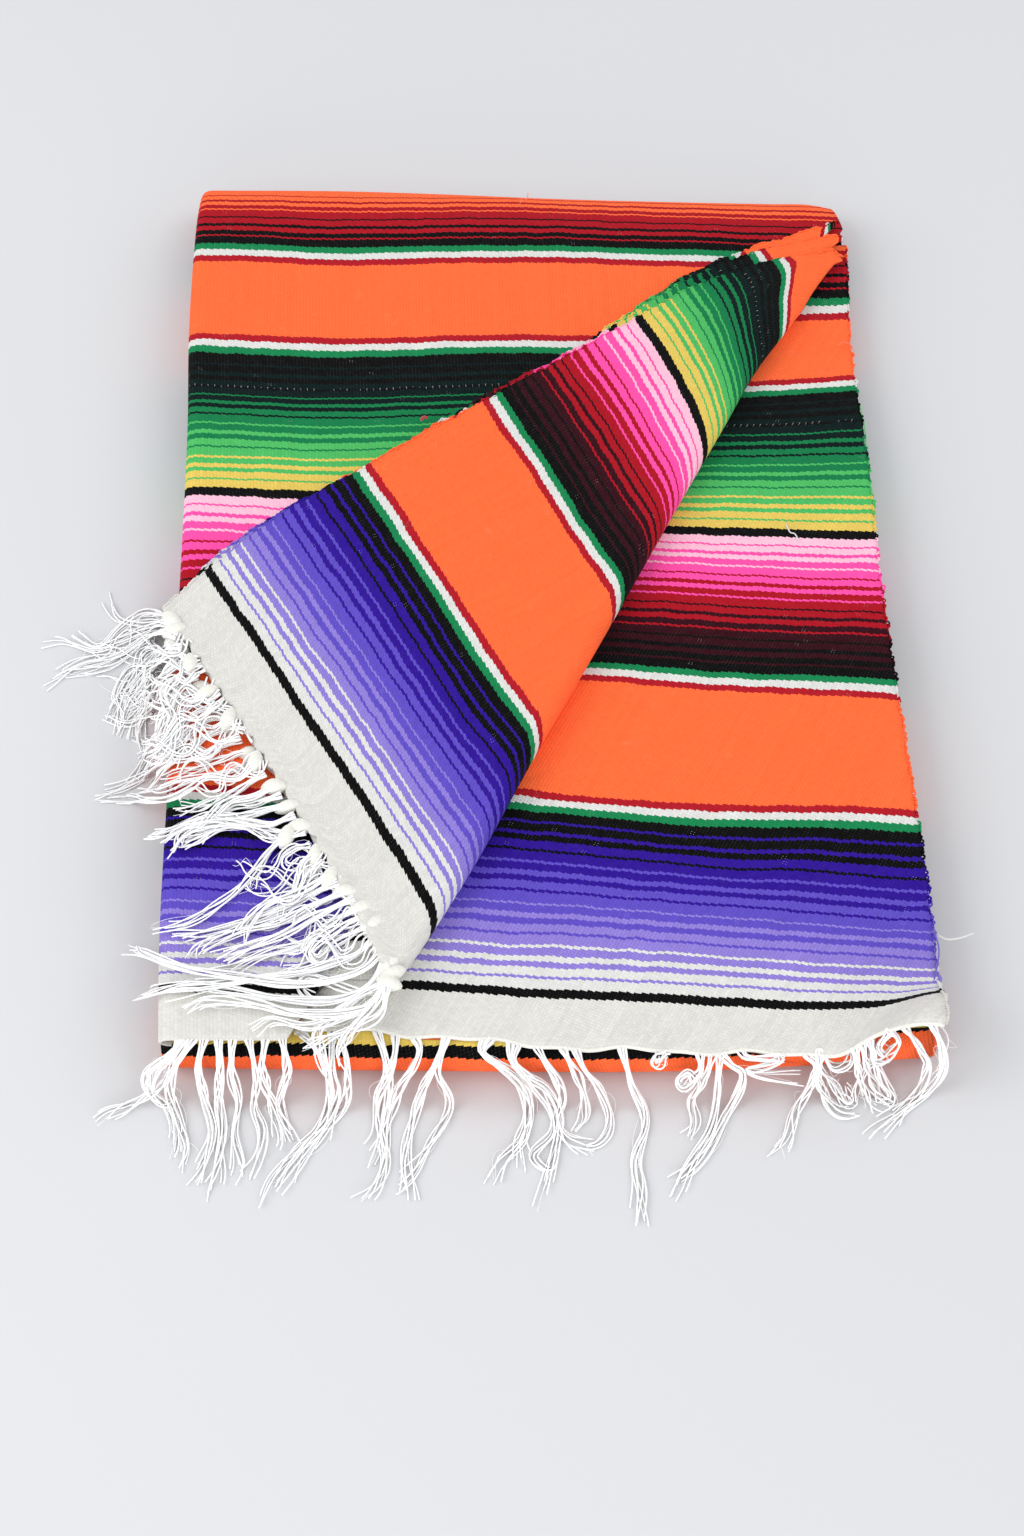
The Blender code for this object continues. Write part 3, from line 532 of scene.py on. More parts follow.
class Nodes:
    """A short way to write a material's nodes."""

    def __init__(self, name):
        self.material = bpy.data.materials.new(name)
        self.material.use_nodes = True
        self.tree = self.material.node_tree
        self.shader = self.tree.nodes["Principled BSDF"]

    def put(self, socket, value):
        if isinstance(value, bpy.types.NodeSocket):
            self.tree.links.new(value, socket)
        elif value is not None:
            socket.default_value = value

    def math(self, operation, a, b=None):
        node = self.tree.nodes.new("ShaderNodeMath")
        node.operation = operation
        for socket, value in zip(node.inputs, (a, b)):
            self.put(socket, value)
        return node.outputs[0]

    def plus(self, a, b):
        return self.math("ADD", a, b)

    def minus(self, a, b):
        return self.math("SUBTRACT", a, b)

    def times(self, a, b):
        return self.math("MULTIPLY", a, b)

    def more(self, a, b):
        """1 where a is more than b, and 0 elsewhere."""
        return self.math("GREATER_THAN", a, b)

    def off_middle(self, part):
        """0 in the middle of a part and 1 at both its ends."""
        return self.math("ABSOLUTE", self.minus(self.times(part, 2.0), 1.0))

    def mix(self, factor, a, b, blend="MIX"):
        node = self.tree.nodes.new("ShaderNodeMix")
        node.data_type = "RGBA"
        node.blend_type = blend
        self.put(node.inputs["Factor"], factor)
        self.put(node.inputs[6], a)
        self.put(node.inputs[7], b)
        return node.outputs[2]

    def shaded(self, colour, factor):
        """A colour times a number."""
        return self.mix(1.0, colour, self.vector(factor, factor, factor), "MULTIPLY")

    def vector(self, x, y, z=0.0):
        node = self.tree.nodes.new("ShaderNodeCombineXYZ")
        for socket, value in zip(node.inputs, (x, y, z)):
            self.put(socket, value)
        return node.outputs[0]

    def noise(self, vector, scale, detail=2.0, rough=0.5):
        node = self.tree.nodes.new("ShaderNodeTexNoise")
        self.put(node.inputs["Vector"], vector)
        node.inputs["Scale"].default_value = scale
        node.inputs["Detail"].default_value = detail
        node.inputs["Roughness"].default_value = rough
        return node.outputs["Fac"]

    def chance(self, vector):
        node = self.tree.nodes.new("ShaderNodeTexWhiteNoise")
        node.noise_dimensions = "3D"
        self.put(node.inputs["Vector"], vector)
        return node.outputs["Value"]

    def range(self, value, low, high, to_low=0.0, to_high=1.0):
        node = self.tree.nodes.new("ShaderNodeMapRange")
        self.put(node.inputs["Value"], value)
        for name, number in (("From Min", low), ("From Max", high), ("To Min", to_low), ("To Max", to_high)):
            self.put(node.inputs[name], number)
        return node.outputs["Result"]

    def brightness(self, colour):
        node = self.tree.nodes.new("ShaderNodeRGBToBW")
        self.put(node.inputs[0], colour)
        return node.outputs[0]

    def ramp(self, factor, stops):
        node = self.tree.nodes.new("ShaderNodeValToRGB")
        node.color_ramp.interpolation = "CONSTANT"
        elements = node.color_ramp.elements
        elements.remove(elements[1])
        elements[0].position = stops[0][0]
        elements[0].color = stops[0][1]
        for place, colour in stops[1:]:
            elements.new(place).color = colour
        self.put(node.inputs["Fac"], factor)
        return node.outputs["Color"]

    def bump(self, height, strength, distance):
        node = self.tree.nodes.new("ShaderNodeBump")
        self.put(node.inputs["Height"], height)
        node.inputs["Strength"].default_value = strength
        node.inputs["Distance"].default_value = distance
        return node.outputs["Normal"]

    def cloth_place(self):
        """Place across the sheet and along its warp, or round a yarn and along it."""
        node = self.tree.nodes.new("ShaderNodeUVMap")
        node.uv_map = "cloth"
        split = self.tree.nodes.new("ShaderNodeSeparateXYZ")
        self.put(split.inputs[0], node.outputs[0])
        return split.outputs[0], split.outputs[1]

    def finish(self, **values):
        """The material, with these values or nodes on the shader's sockets."""
        for name, value in values.items():
            self.put(self.shader.inputs[name.replace("_", " ")], value)
        return self.material


# The weave
RIB = 0.0019  # distance between the ribs of the weave
PICK = 0.00125  # length of two picks along the warp
STAGGER = 0.32  # how far a pick slants over a rib and steps to the next one, in lengths of two picks
EVEN_START = 10000.0  # an even number larger than that of any rib
# How stripes wander: noise scale and detail, how far they stray, stretch along the warp, and seed
WANDERS = ((14.0, 3.0, 0.0012, 1.0, 0.0), (85.0, 2.0, 0.0006, 0.5, 5.0))
# The floats' roundness shapes their bump and their painted groove shade; the ribs' squareness shapes only the
# painted shade between ribs
FLOAT_ACROSS, FLOAT_ALONG, RIB_SHADE_EDGE = 2.6, 2.4, 3.0  # how squarely floats and ribs end
# Least and most tone of single floats, of patches and of ribs
FLOAT_TONES, PATCH_TONES, RIB_TONES = (0.95, 1.04), (0.97, 1.03), (0.965, 1.025)
# Brightness over which the painted shade in the grooves round floats and in the lines between ribs grows
# fainter, and the tones of that shade
DARK_TO_BRIGHT = (0.2, 0.6)
GROOVE_SHADE_TONES, GROOVE_SHADE_WIDTH = (0.72, 0.90), 0.35
RIB_SHADE_TONES, RIB_SHADE_FROM = (0.88, 0.96), 0.3
SPECK_CORNER, SPECK_FROM, SPECK_MOST = 0.55, 0.35, 0.06  # where the warp shows a little, and how much
PINHOLE_ROW, PINHOLE_NEAR = 0.4050, 0.0007  # a row of pinholes in the dark green
# Chance that a place has no pinhole, and how far into its corner one reaches, off the row and on it
PINHOLE_CHANCE, PINHOLE_CORNER, PINHOLE_TONE = (0.9975, 0.2), (0.66, 0.46), 0.8
NAP_SCALE, NAP_HEIGHT = 1900.0, 0.55
WEAVE_BUMP, WEAVE_DEPTH = 0.55, 0.00030
RAMP_STOPS, RAMP_SPARE = 24, 0.02
PLY_TURN = 2400.0  # turn of a yarn's plies for each metre
FIBRE_SCALE, FIBRE_ROUND = 2600.0, 0.003


def striped(nodes, place):
    """The stripe's colour at a place along the warp."""
    rows = stripes()
    colour = None
    for first in range(0, len(rows), RAMP_STOPS):
        part = rows[first : first + RAMP_STOPS]
        low = part[0][0]
        high = rows[min(first + RAMP_STOPS, len(rows) - 1)][0] + RAMP_SPARE
        stops = [((start - low) / (high - low), tone) for start, tone in part]
        shade = nodes.ramp(nodes.range(place, low, high), stops)
        colour = shade if colour is None else nodes.mix(nodes.more(place, low), colour, shade)
    return colour


def cloth_material(name):
    """Weft-faced wool: floats over the ribs, stepped colour borders, painted shade in the grooves round the
    floats and between the ribs, nap and a few pinholes.
    """
    nodes = Nodes(name)
    across, along = nodes.cloth_place()
    for scale, detail, stray, stretch, seed in WANDERS:
        bend = nodes.noise(nodes.vector(across, nodes.times(along, stretch), seed), scale, detail)
        along = nodes.plus(along, nodes.range(bend, 0.25, 0.75, -stray, stray))
    rib = nodes.math("DIVIDE", across, RIB)
    rib_number, rib_part = nodes.math("FLOOR", rib), nodes.math("FRACT", rib)
    odd = nodes.math("MODULO", nodes.plus(rib_number, EVEN_START), 2.0)
    slant = nodes.times(nodes.minus(rib_part, 0.5), STAGGER)
    pick = nodes.plus(nodes.plus(nodes.math("DIVIDE", along, PICK), nodes.times(odd, 0.5)), slant)
    pick_number, pick_part = nodes.math("FLOOR", pick), nodes.math("FRACT", pick)
    wave = nodes.plus(nodes.times(nodes.minus(odd, 0.5), STAGGER), slant)
    colour = striped(nodes, nodes.plus(along, nodes.times(wave, PICK)))

    chance = nodes.chance(nodes.vector(rib_number, pick_number))
    colour = nodes.shaded(colour, nodes.range(chance, 0.0, 1.0, *FLOAT_TONES))
    patch = nodes.noise(nodes.vector(across, along), 60.0, 4.0, 0.6)
    colour = nodes.shaded(colour, nodes.range(patch, 0.2, 0.8, *PATCH_TONES))

    # each float is a low lens; the groove round it is painted darker as shade, deeper in dark wool and
    # fainter in bright wool
    over_rib, over_pick = nodes.off_middle(rib_part), nodes.off_middle(pick_part)
    rounded_across = nodes.minus(1.0, nodes.math("POWER", over_rib, FLOAT_ACROSS))
    rounded_along = nodes.minus(1.0, nodes.math("POWER", over_pick, FLOAT_ALONG))
    lens = nodes.times(rounded_across, rounded_along)
    groove_shade = nodes.range(nodes.brightness(colour), *DARK_TO_BRIGHT, *GROOVE_SHADE_TONES)
    colour = nodes.shaded(colour, nodes.range(lens, 0.0, GROOVE_SHADE_WIDTH, groove_shade, 1.0))
    # each rib has a tone of its own, and the lines between ribs are painted darker as shade, fainter in
    # bright wool
    rib_tone = nodes.range(nodes.chance(nodes.vector(rib_number, 3.0)), 0.0, 1.0, *RIB_TONES)
    rib_shade_depth = nodes.range(nodes.brightness(colour), *DARK_TO_BRIGHT, *RIB_SHADE_TONES)
    rib_shade = nodes.range(nodes.math("POWER", over_rib, RIB_SHADE_EDGE), RIB_SHADE_FROM, 1.0, 1.0, rib_shade_depth)
    colour = nodes.shaded(colour, nodes.times(rib_tone, rib_shade))

    # the white warp shows a little between the floats, and in places as a pinhole
    corner = nodes.times(over_rib, over_pick)
    luck = nodes.chance(nodes.vector(rib_number, pick_number, 7.0))
    speck = nodes.times(nodes.more(corner, SPECK_CORNER), nodes.range(luck, SPECK_FROM, 1.0, 0.0, SPECK_MOST))
    colour = nodes.mix(speck, colour, TONES["white"])
    off_row = nodes.math("ABSOLUTE", nodes.minus(along, PINHOLE_ROW))
    in_row = nodes.math("LESS_THAN", off_row, PINHOLE_NEAR)
    row_hole = nodes.times(in_row, nodes.more(nodes.times(rib_part, odd), 0.5))
    few = nodes.more(luck, nodes.range(row_hole, 0.0, 1.0, *PINHOLE_CHANCE))
    hole = nodes.times(nodes.more(corner, nodes.range(in_row, 0.0, 1.0, *PINHOLE_CORNER)), few)
    colour = nodes.mix(nodes.times(hole, PINHOLE_TONE), colour, TONES["white"])

    nap = nodes.noise(nodes.vector(across, along, 1.0), NAP_SCALE, 2.0, 0.7)
    height = nodes.plus(lens, nodes.times(nap, NAP_HEIGHT))
    return nodes.finish(
        Base_Color=colour,
        Roughness=nodes.range(nap, 0.2, 0.8, 0.82, 0.98),
        Normal=nodes.bump(height, WEAVE_BUMP, WEAVE_DEPTH),
        Specular_IOR_Level=0.08,
        Sheen_Weight=0.02,
        Sheen_Roughness=0.55,
    )


def yarn_material(name, tone):
    """Plied yarn: the ply runs round the strand, its turns painted a little darker as shade, with fine
    fibres.
    """
    nodes = Nodes(name)
    round_yarn, along = nodes.cloth_place()
    turn = nodes.plus(nodes.times(along, PLY_TURN), nodes.times(round_yarn, 2 * FULL_TURN))
    ply = nodes.math("SINE", turn)
    fibre = nodes.noise(nodes.vector(nodes.times(round_yarn, FIBRE_ROUND), along), FIBRE_SCALE, 2.0, 0.7)
    # the ply's turns are painted up to 5% darker as shade; the fibres vary the tone at random
    shade = nodes.plus(nodes.range(ply, -1.0, 1.0, 0.95, 1.0), nodes.range(fibre, 0.2, 0.8, -0.02, 0.02))
    return nodes.finish(
        Base_Color=nodes.shaded(tone, shade),
        Roughness=nodes.range(fibre, 0.2, 0.8, 0.75, 0.95),
        Normal=nodes.bump(nodes.plus(ply, fibre), 0.25, 0.0001),
        Specular_IOR_Level=0.1,
        Sheen_Weight=0.5,
        Sheen_Roughness=0.6,
    )


def finish_mesh(name, points, faces, places, material):
    """An object from points, faces and the cloth place of each point."""
    mesh = bpy.data.meshes.new(name)
    mesh.from_pydata(points.tolist(), [], faces)
    layer = mesh.uv_layers.new(name="cloth")
    corners = np.empty(len(mesh.loops), dtype=np.int32)
    mesh.loops.foreach_get("vertex_index", corners)
    layer.data.foreach_set("uv", places[corners].astype(np.float32).ravel())
    mesh.materials.append(material)
    mesh.shade_smooth()
    obj = bpy.data.objects.new(name, mesh)
    bpy.context.scene.collection.objects.link(obj)
    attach(obj, "root")
    return obj


def stand_for(piece, node):
    """Hide the solid that a piece stands in for, and give back the piece."""
    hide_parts(node)
    return piece


# How far the rims of a shell bulge, and those of the turned sheets
PLUMP, TURNED_PLUMP = 0.0005, 0.0008


def shell(name, upper, lower, warp, material, plump=PLUMP):
    """A thin wall between two grids, with rounded rims. warp is the place of each point on the warp."""
    rows, columns = upper.shape[:2]
    count = rows * columns
    across = np.zeros((rows, columns))
    across[:, 1:] = np.cumsum(np.linalg.norm(np.diff(upper, axis=1), axis=2), axis=1)
    flat = np.stack((across, np.broadcast_to(warp, across.shape)), -1).reshape(-1, 2)
    index = np.arange(count).reshape(rows, columns)
    quads = np.stack((index[:-1, :-1], index[:-1, 1:], index[1:, 1:], index[1:, :-1]), -1).reshape(-1, 4)
    rim = np.concatenate((index[0, :-1], index[:-1, -1], index[-1, :0:-1], index[:0:-1, 0]))
    inside = np.concatenate((index[1, :-1], index[:-1, -2], index[-2, :0:-1], index[:0:-1, 1]))
    top, bottom = upper.reshape(-1, 3), lower.reshape(-1, 3)
    middle = (top[rim] + bottom[rim]) / 2 + unit(top[rim] - top[inside]) * plump
    points = np.concatenate((top, bottom, middle))
    faces = quads.tolist() + (quads[:, ::-1] + count).tolist()
    ring = np.arange(len(rim)) + 2 * count
    after, rim_after = np.roll(ring, -1), np.roll(rim, -1)
    faces += np.stack((rim_after, rim, ring, after), -1).tolist()
    faces += np.stack((after, ring, rim + count, rim_after + count), -1).tolist()
    return finish_mesh(name, points, faces, np.concatenate((flat, flat, flat[rim])), material)


def wound(rings):
    """Faces round a closed skin of rings with the same number of points, with both ends filled."""
    count, sides = rings.shape[:2]
    index = np.arange(count * sides).reshape(count, sides)
    after = np.roll(index, -1, axis=1)
    quads = np.stack((index[:-1], after[:-1], after[1:], index[1:]), -1).reshape(-1, 4)
    return quads.tolist() + [index[0, ::-1].tolist(), index[-1].tolist()]


def tube(path, radius, sides):
    """Points, faces and places of a round strand along a path; radius may vary."""
    ahead = unit(np.gradient(path, axis=0))
    side = np.cross(ahead, (0.0, 0.0, 1.0))
    side[np.linalg.norm(side, axis=1) < 1e-3] = (1.0, 0.0, 0.0)
    side = unit(side)
    up = np.cross(side, ahead)
    part = np.linspace(0, 1, sides, endpoint=False)
    angle = part[None, :, None] * 2 * math.pi
    radius = np.broadcast_to(radius, len(path))[:, None, None]
    rings = path[:, None] + radius * (side[:, None] * np.cos(angle) + up[:, None] * np.sin(angle))
    places = np.stack(np.broadcast_arrays(part[None, :], distances(path)[:, None]), -1)
    return rings.reshape(-1, 3), wound(rings), places.reshape(-1, 2)


def joined(tubes):
    """Points, faces and places of many tubes together."""
    points, faces, places, base = [], [], [], 0
    for new_points, new_faces, new_places in tubes:
        points.append(new_points)
        places.append(new_places)
        faces += [[corner + base for corner in face] for face in new_faces]
        base += len(new_points)
    return np.concatenate(points), faces, np.concatenate(places)


def strands(name, routes, material, sides):
    """One mesh of many strands: each route is its path and radius."""
    return finish_mesh(name, *joined([tube(path, radius, sides) for path, radius in routes]), material)


# How selvedges stray: the size of it, and for each wave its rate along the selvedge, its turn and its size
EDGE_FRAY = 0.0006 / 1.6
EDGE_WAVES = ((210, 1.0, 1.0), (520, 2.3, 0.8), (1190, 1.0, 0.5))
# The weft's turns at a selvedge: their spacing, reach and radius, and their width, lift and sides
LOOP_SPACING, LOOP_OUT, LOOP_RADIUS = 0.0015, 0.0013, 0.00062
LOOP_WIDTH, LOOP_LIFT, LOOP_SIDES = 0.7, 0.0006, 5
LOOP_STEPS = np.linspace(0, math.pi, 7)


def edge_wave(along, seed):
    """How far a selvedge strays from its line."""
    return EDGE_FRAY * sum(size * np.sin(along * rate + turn * seed) for rate, turn, size in EDGE_WAVES)


def selvedge(name, middle, outward, warp, material, wild=1.0):
    """The weft's turns at a selvedge, as small loops in the colours of their stripes."""
    run = distances(middle)
    at = np.arange(LOOP_SPACING, run[-1], LOOP_SPACING)
    loops = []
    for centre, out, place in zip(
        points_at(at, run, middle), points_at(at, run, unit(outward)), np.interp(at, run, warp)
    ):
        ahead = np.array((-out[1], out[0], 0.0)) * ORDER.uniform(0.7, 1.5) * LOOP_SPACING * LOOP_WIDTH
        reach = LOOP_OUT * (0.55 + 0.75 * wild * ORDER.random() ** 2)
        path = centre + ahead * np.cos(LOOP_STEPS)[:, None] + out * reach * np.sin(LOOP_STEPS)[:, None]
        path[:, 2] += LOOP_LIFT * np.sin(LOOP_STEPS) * ORDER.uniform(-1, 1.4)
        points, faces, places = tube(path, LOOP_RADIUS * ORDER.uniform(0.75, 1.1), LOOP_SIDES)
        places[:] = (RIB / 2, place + ORDER.uniform(-0.0012, 0.0012))
        loops.append((points, faces, places))
    edge = finish_mesh(name, *joined(loops), material)
    return edge


# How far the stripes run ahead of the hem's distance: at the selvedge, at the top of the roll, and for each
# metre round the roll, on the outer sheet, and how much more on the middle and inner sheets
STRIPE_LEADS = (
    (0.000, 0.000, 0.000, 0.15, 0.000, 0.000),
    (0.030, 0.000, 0.000, 0.15, 0.004, 0.006),
    (0.135, -0.0042, 0.0000, 0.32, 0.014, 0.020),
    (0.206, -0.0042, 0.0030, 0.35, 0.019, 0.030),
    (0.320, -0.0003, 0.0115, 0.50, 0.016, 0.026),
    (0.420, 0.0029, 0.0098, 0.85, 0.012, 0.026),
    (0.438, 0.0040, 0.0065, 1.05, 0.012, 0.028),
    (0.492, 0.0040, 0.0045, 1.20, 0.010, 0.034),
)
# How a lead fades from the selvedge and grows towards the roll, and how far round the roll it goes on
LEAD_FROM_EDGE, LEAD_TO_ROLL, LEAD_ROUND = 1.5, 2.3, 0.03
TIP_START, TIP_END = 0.436, 0.492  # each turned sheet narrows to a tip between these rows
TIP_LEAST, TIP_NARROWING, TIP_WAY = 0.10, 0.9, 1.25  # width left at a tip, and how narrowing and bend set in
# Where the tips of the inner, middle and outer sheets lie in the photograph, and their heights
TIPS = ((838, 222, 0.0275), (842, 237, 0.0265), (841, 258, 0.0250))
# Puckers between the knots of the turned hem: length, reach, height, depth into the sheet and roundness
PUCKER, PUCKER_OUT, PUCKER_HIGH, PUCKER_DEPTH, PUCKER_ROUND = 0.0098, 0.0026, 0.0011, 0.0085, 0.7
PUCKER_LEVEL = 0.35  # share of a pucker's height that lies under the sheet's own level
# Points where a row settles beside the roll, and the largest share of the row that they cover
SETTLE_STEPS, SETTLE_SHARE = 12, 0.6
LEG_PARTS = np.array((0.3, 0.65, 1.0))  # where the points of a leg lie
# Rows of a turned sheet, and points over its flat part and round its roll: the outer one, and those under it
OUTER_GRID, UNDER_GRID = (190, 84, 22), (110, 30, 14)


def stripe_places(layer, s, m, rolled):
    """Places on the warp for the rows s, the distances m from the roll, 0 or less, and those round it."""
    at_edge, at_roll, round_roll, middle_lead, inner_lead = through(STRIPE_LEADS, s)
    part = np.clip(1 - m / m[:, :1], 0, 1)
    lead = at_edge * (1 - part) ** LEAD_FROM_EDGE + at_roll * part**LEAD_TO_ROLL + round_roll * rolled
    return s + lead + (inner_lead, middle_lead, 0)[layer]


def turned_grid(layer, s, flat_steps, turn_steps, depth):
    """Points of a turned sheet at the rows s, and how far each lies from the top of the roll."""
    start, turn, leg = (value[:, None] for value in flap_span(layer, s))
    start = start - edge_wave(s, layer)[:, None]
    settling = np.minimum(ROLL_SETTLE, -start * SETTLE_SHARE)
    flat = start + (-settling - start) * np.linspace(0, 1, flat_steps)
    near_roll = -settling * np.linspace(1, 0, SETTLE_STEPS + 1)[1:]
    turns = turn * np.linspace(0, 1, turn_steps + 1)[1:]
    legs = leg * LEG_PARTS
    m = np.concatenate((flat, near_roll, turns * 0, legs * 0), 1)
    turns = np.concatenate((flat * 0, near_roll * 0, turns, legs * 0 + turn), 1)
    legs = np.concatenate((m[:, : -len(LEG_PARTS)] * 0, legs), 1)
    near_hem = 1 - ramp(s[:, None], 0, PUCKER_DEPTH)
    lobe = np.abs(np.sin(math.pi * m / PUCKER)) ** PUCKER_ROUND * (m < 0)
    points = flap_point(layer, s[:, None] - PUCKER_OUT * lobe * near_hem, m, turns, legs, depth)
    points[..., 2] += PUCKER_HIGH * (lobe - PUCKER_LEVEL) * near_hem * (layer == LAYER_OUTER)
    gone = np.clip((s - TIP_START) / (TIP_END - TIP_START), 0, 1)[:, None, None]
    narrowing = 1 - (1 - TIP_LEAST) * gone**TIP_NARROWING
    top = flat_steps + SETTLE_STEPS - 1
    anchor = points[:, top : top + 1]
    tip = picture_place(*TIPS[layer])
    return anchor + (tip - anchor) * gone**TIP_WAY + (points - anchor) * narrowing, m


def turned_sheet(layer, word, rows, flat_steps, turn_steps, material):
    """A turned sheet, with the puckers of its knotted hem, and its selvedge."""
    s = np.linspace(0, TIP_END, rows)
    upper, m = turned_grid(layer, s, flat_steps, turn_steps, 0.0)
    lower, _ = turned_grid(layer, s, flat_steps, turn_steps, PLY)
    top = flat_steps + SETTLE_STEPS - 1
    across = np.cumsum(np.linalg.norm(np.diff(upper[:, top:], axis=1), axis=2), axis=1)
    rolled = np.concatenate((np.zeros((rows, top + 1)), np.minimum(across, LEAD_ROUND)), 1)
    warp = stripe_places(layer, s[:, None], m, rolled)
    name = f"turned_cloth_{word}"
    cloth = shell(name, upper, lower, warp, material, TURNED_PLUMP)
    stand_for(cloth, f"turned_sheet_{word}")
    middle, outward = (upper[:, 0] + lower[:, 0]) / 2, upper[:, 0] - upper[:, 2]
    return cloth, selvedge(f"{name}_selvedge", middle, outward, warp[:, 0], material)


# The back hem's low waves: rate along it, turn and size
HEM_WAVES = ((95.0, 0.4, 0.0011), (210.0, 1.9, 0.0007), (37.0, 0.9, 0.0012))
# How far in the waves reach, the hem's ups and downs with their rate and turn, and how far out its cord is
HEM_DEPTH, HEM_LIFT, HEM_RATE, HEM_TURN, HEM_CORD_OUT = 0.02, 0.0006, 130, 0.5, 0.0006
HEM_ROWS, BACK_SHEET_ROWS, BACK_COLUMNS = 12, 170, 100
BACK_FRAY, BACK_LOOPS = 5.0, 1.4  # turn of the selvedge's waves, and how wild its loops are
# How much further the back hem's right end curls up than on its solid
HEM_CURL_X, HEM_CURL_SLANT, HEM_CURL_DEPTH = (0.143, 0.184), 0.9, 0.058
HEM_CURL_LIFT, HEM_CURL_BACK = 0.0140, 0.0075
BACK_SWAY = (0.0012, 9.0, 6.0)  # low waves of the back sheet's stripes: size, and rates across and along
# Distance from the back sheet's hem, and place on the warp
BACK_STRIPES = (
    (0.000, 0.000),
    (0.026, 0.028),
    (0.060, 0.0612),
    (0.110, 0.110),
    (0.200, 0.200),
    (0.400, 0.400),
    (0.460, 0.460),
    (0.500, 0.500),
    (0.524, 0.515),
    (0.545, 0.528),
    (0.590, 0.552),
)
# How far the back sheet's stripes run ahead at its right edge
BACK_RIGHT_LEAD = (
    (0.000, 0.000),
    (0.085, 0.000),
    (0.110, -0.004),
    (0.132, -0.009),
    (0.200, -0.004),
    (0.260, 0.000),
    (0.590, 0.000),
)
BACK_LEAD_X = (0.03, 0.21)


def back_sheet(material):
    """The back sheet, its selvedge, and the line of its hem."""
    hem_rows = np.linspace(0, HEM_DEPTH, HEM_ROWS)[:-1]
    s = np.concatenate((hem_rows, np.linspace(HEM_DEPTH, BACK_END, BACK_SHEET_ROWS)))[:, None]
    u = np.linspace(0, 1, BACK_COLUMNS)[None, :]
    near_hem = 1 - ramp(s, 0, HEM_DEPTH)
    grids = []
    for depth in (0.0, PLY):
        points = back_point(s, u, depth)
        x = points[..., 0]
        for rate, turn, out in HEM_WAVES:
            points[..., 1] -= out * np.sin(rate * x + turn) * near_hem
        curl = ramp(x - HEM_CURL_SLANT * s, *HEM_CURL_X) * (1 - ramp(s, 0, HEM_CURL_DEPTH))
        points[..., 1] += HEM_CURL_BACK * curl
        points[..., 2] += HEM_LIFT * np.sin(HEM_RATE * x + HEM_TURN) * near_hem + HEM_CURL_LIFT * curl
        points[..., 0] += edge_wave(s, BACK_FRAY) * (u == 1)
        grids.append(points)
    sway, sway_across, sway_along = BACK_SWAY
    rows = np.broadcast_to(s, x.shape)
    warp = through(BACK_STRIPES, rows)[0] + through(BACK_RIGHT_LEAD, rows)[0] * ramp(x, *BACK_LEAD_X)
    warp = warp + sway * np.sin(sway_across * x + sway_along * s) * ramp(s, 0.03, 0.08)
    cloth = stand_for(shell("back_cloth", *grids, warp, material), "back_sheet")
    middle, outward = (grids[0][:, -1] + grids[1][:, -1]) / 2, grids[0][:, -1] - grids[0][:, -3]
    edge = selvedge("back_selvedge", middle, outward, warp[:, -1], material, BACK_LOOPS)
    hem = (grids[0][0] + grids[1][0]) / 2
    hem[:, 1] -= HEM_CORD_OUT
    return cloth, edge, hem


FRONT_ROWS, FAR_ROWS, SIDE_COLUMNS, FRONT_COLUMNS = 170, 36, 16, 60  # on top, and round its folds
# The dip in the front sheet's stripes at the left
FRONT_DIP, DIP_X, DIP_WIDTH, DIP_MEAN = 0.0042, -0.105, 0.055, 0.35
# Place along the front sheet, and how far its stripes are shifted there
FRONT_LEADS = (
    (0.000, 0.0000),
    (0.030, 0.0000),
    (0.146, -0.0042),
    (0.300, -0.0064),
    (0.325, -0.0082),
    (0.354, -0.0058),
    (0.389, -0.0034),
    (0.402, 0.0000),
    (0.440, 0.0000),
    (0.492, 0.0016),
    (0.560, 0.0000),
    (0.700, 0.0000),
)


def front_sheet(material):
    """The front sheet, round its left fold and over the far fold."""
    s = front_rows(FRONT_ROWS, FAR_ROWS)[:, None]
    w = np.concatenate((np.linspace(-1, 0, SIDE_COLUMNS), np.linspace(0, 1, FRONT_COLUMNS)[1:]))[None, :]
    grids = [front_point(s, w, depth) for depth in (0.0, PLY)]
    dip = FRONT_DIP * (np.exp(-(((grids[0][..., 0] - DIP_X) / DIP_WIDTH) ** 2)) - DIP_MEAN)
    warp = s + dip * ramp(s, 0.0, 0.06) + through(FRONT_LEADS, s)[0]
    return stand_for(shell("front_cloth", *grids, warp, material), "front_sheet")


# The hidden plies between their ends: first and last section, and how many
SECTIONS = (-0.165, 0.180, 60)
# The stripes on the near fold: where its black one starts, how they run down the fold and below it, and how
# far they shift at the right
FOLD_BLACK, FOLD_BAND = 0.7180, 0.012
FOLD_FIRST, FOLD_ROUND, FOLD_BELOW = 0.0010, 0.0105, 0.010
FOLD_SHIFT, FOLD_SHIFT_X = 0.0055, (0.12, 0.185)
END_RIBS = 0.3  # how far the ribs of the weave turn with height


def end_plies(place, cover, side):
    """Rings from the outline of an end to its middle: a rounded edge, then a ridge for each ply."""
    rings = []
    for step in np.linspace(0, END_PLIES, END_PLIES * END_STEPS + 1):
        size = 1 - (1 - END_EYE) * step / END_PLIES
        deep = END_DEPTH * abs(math.cos(math.pi * step)) ** 3 if step else END_ROUND
        rings.append(hidden_section(place, cover, size, deep + SEAM, side))
    return rings


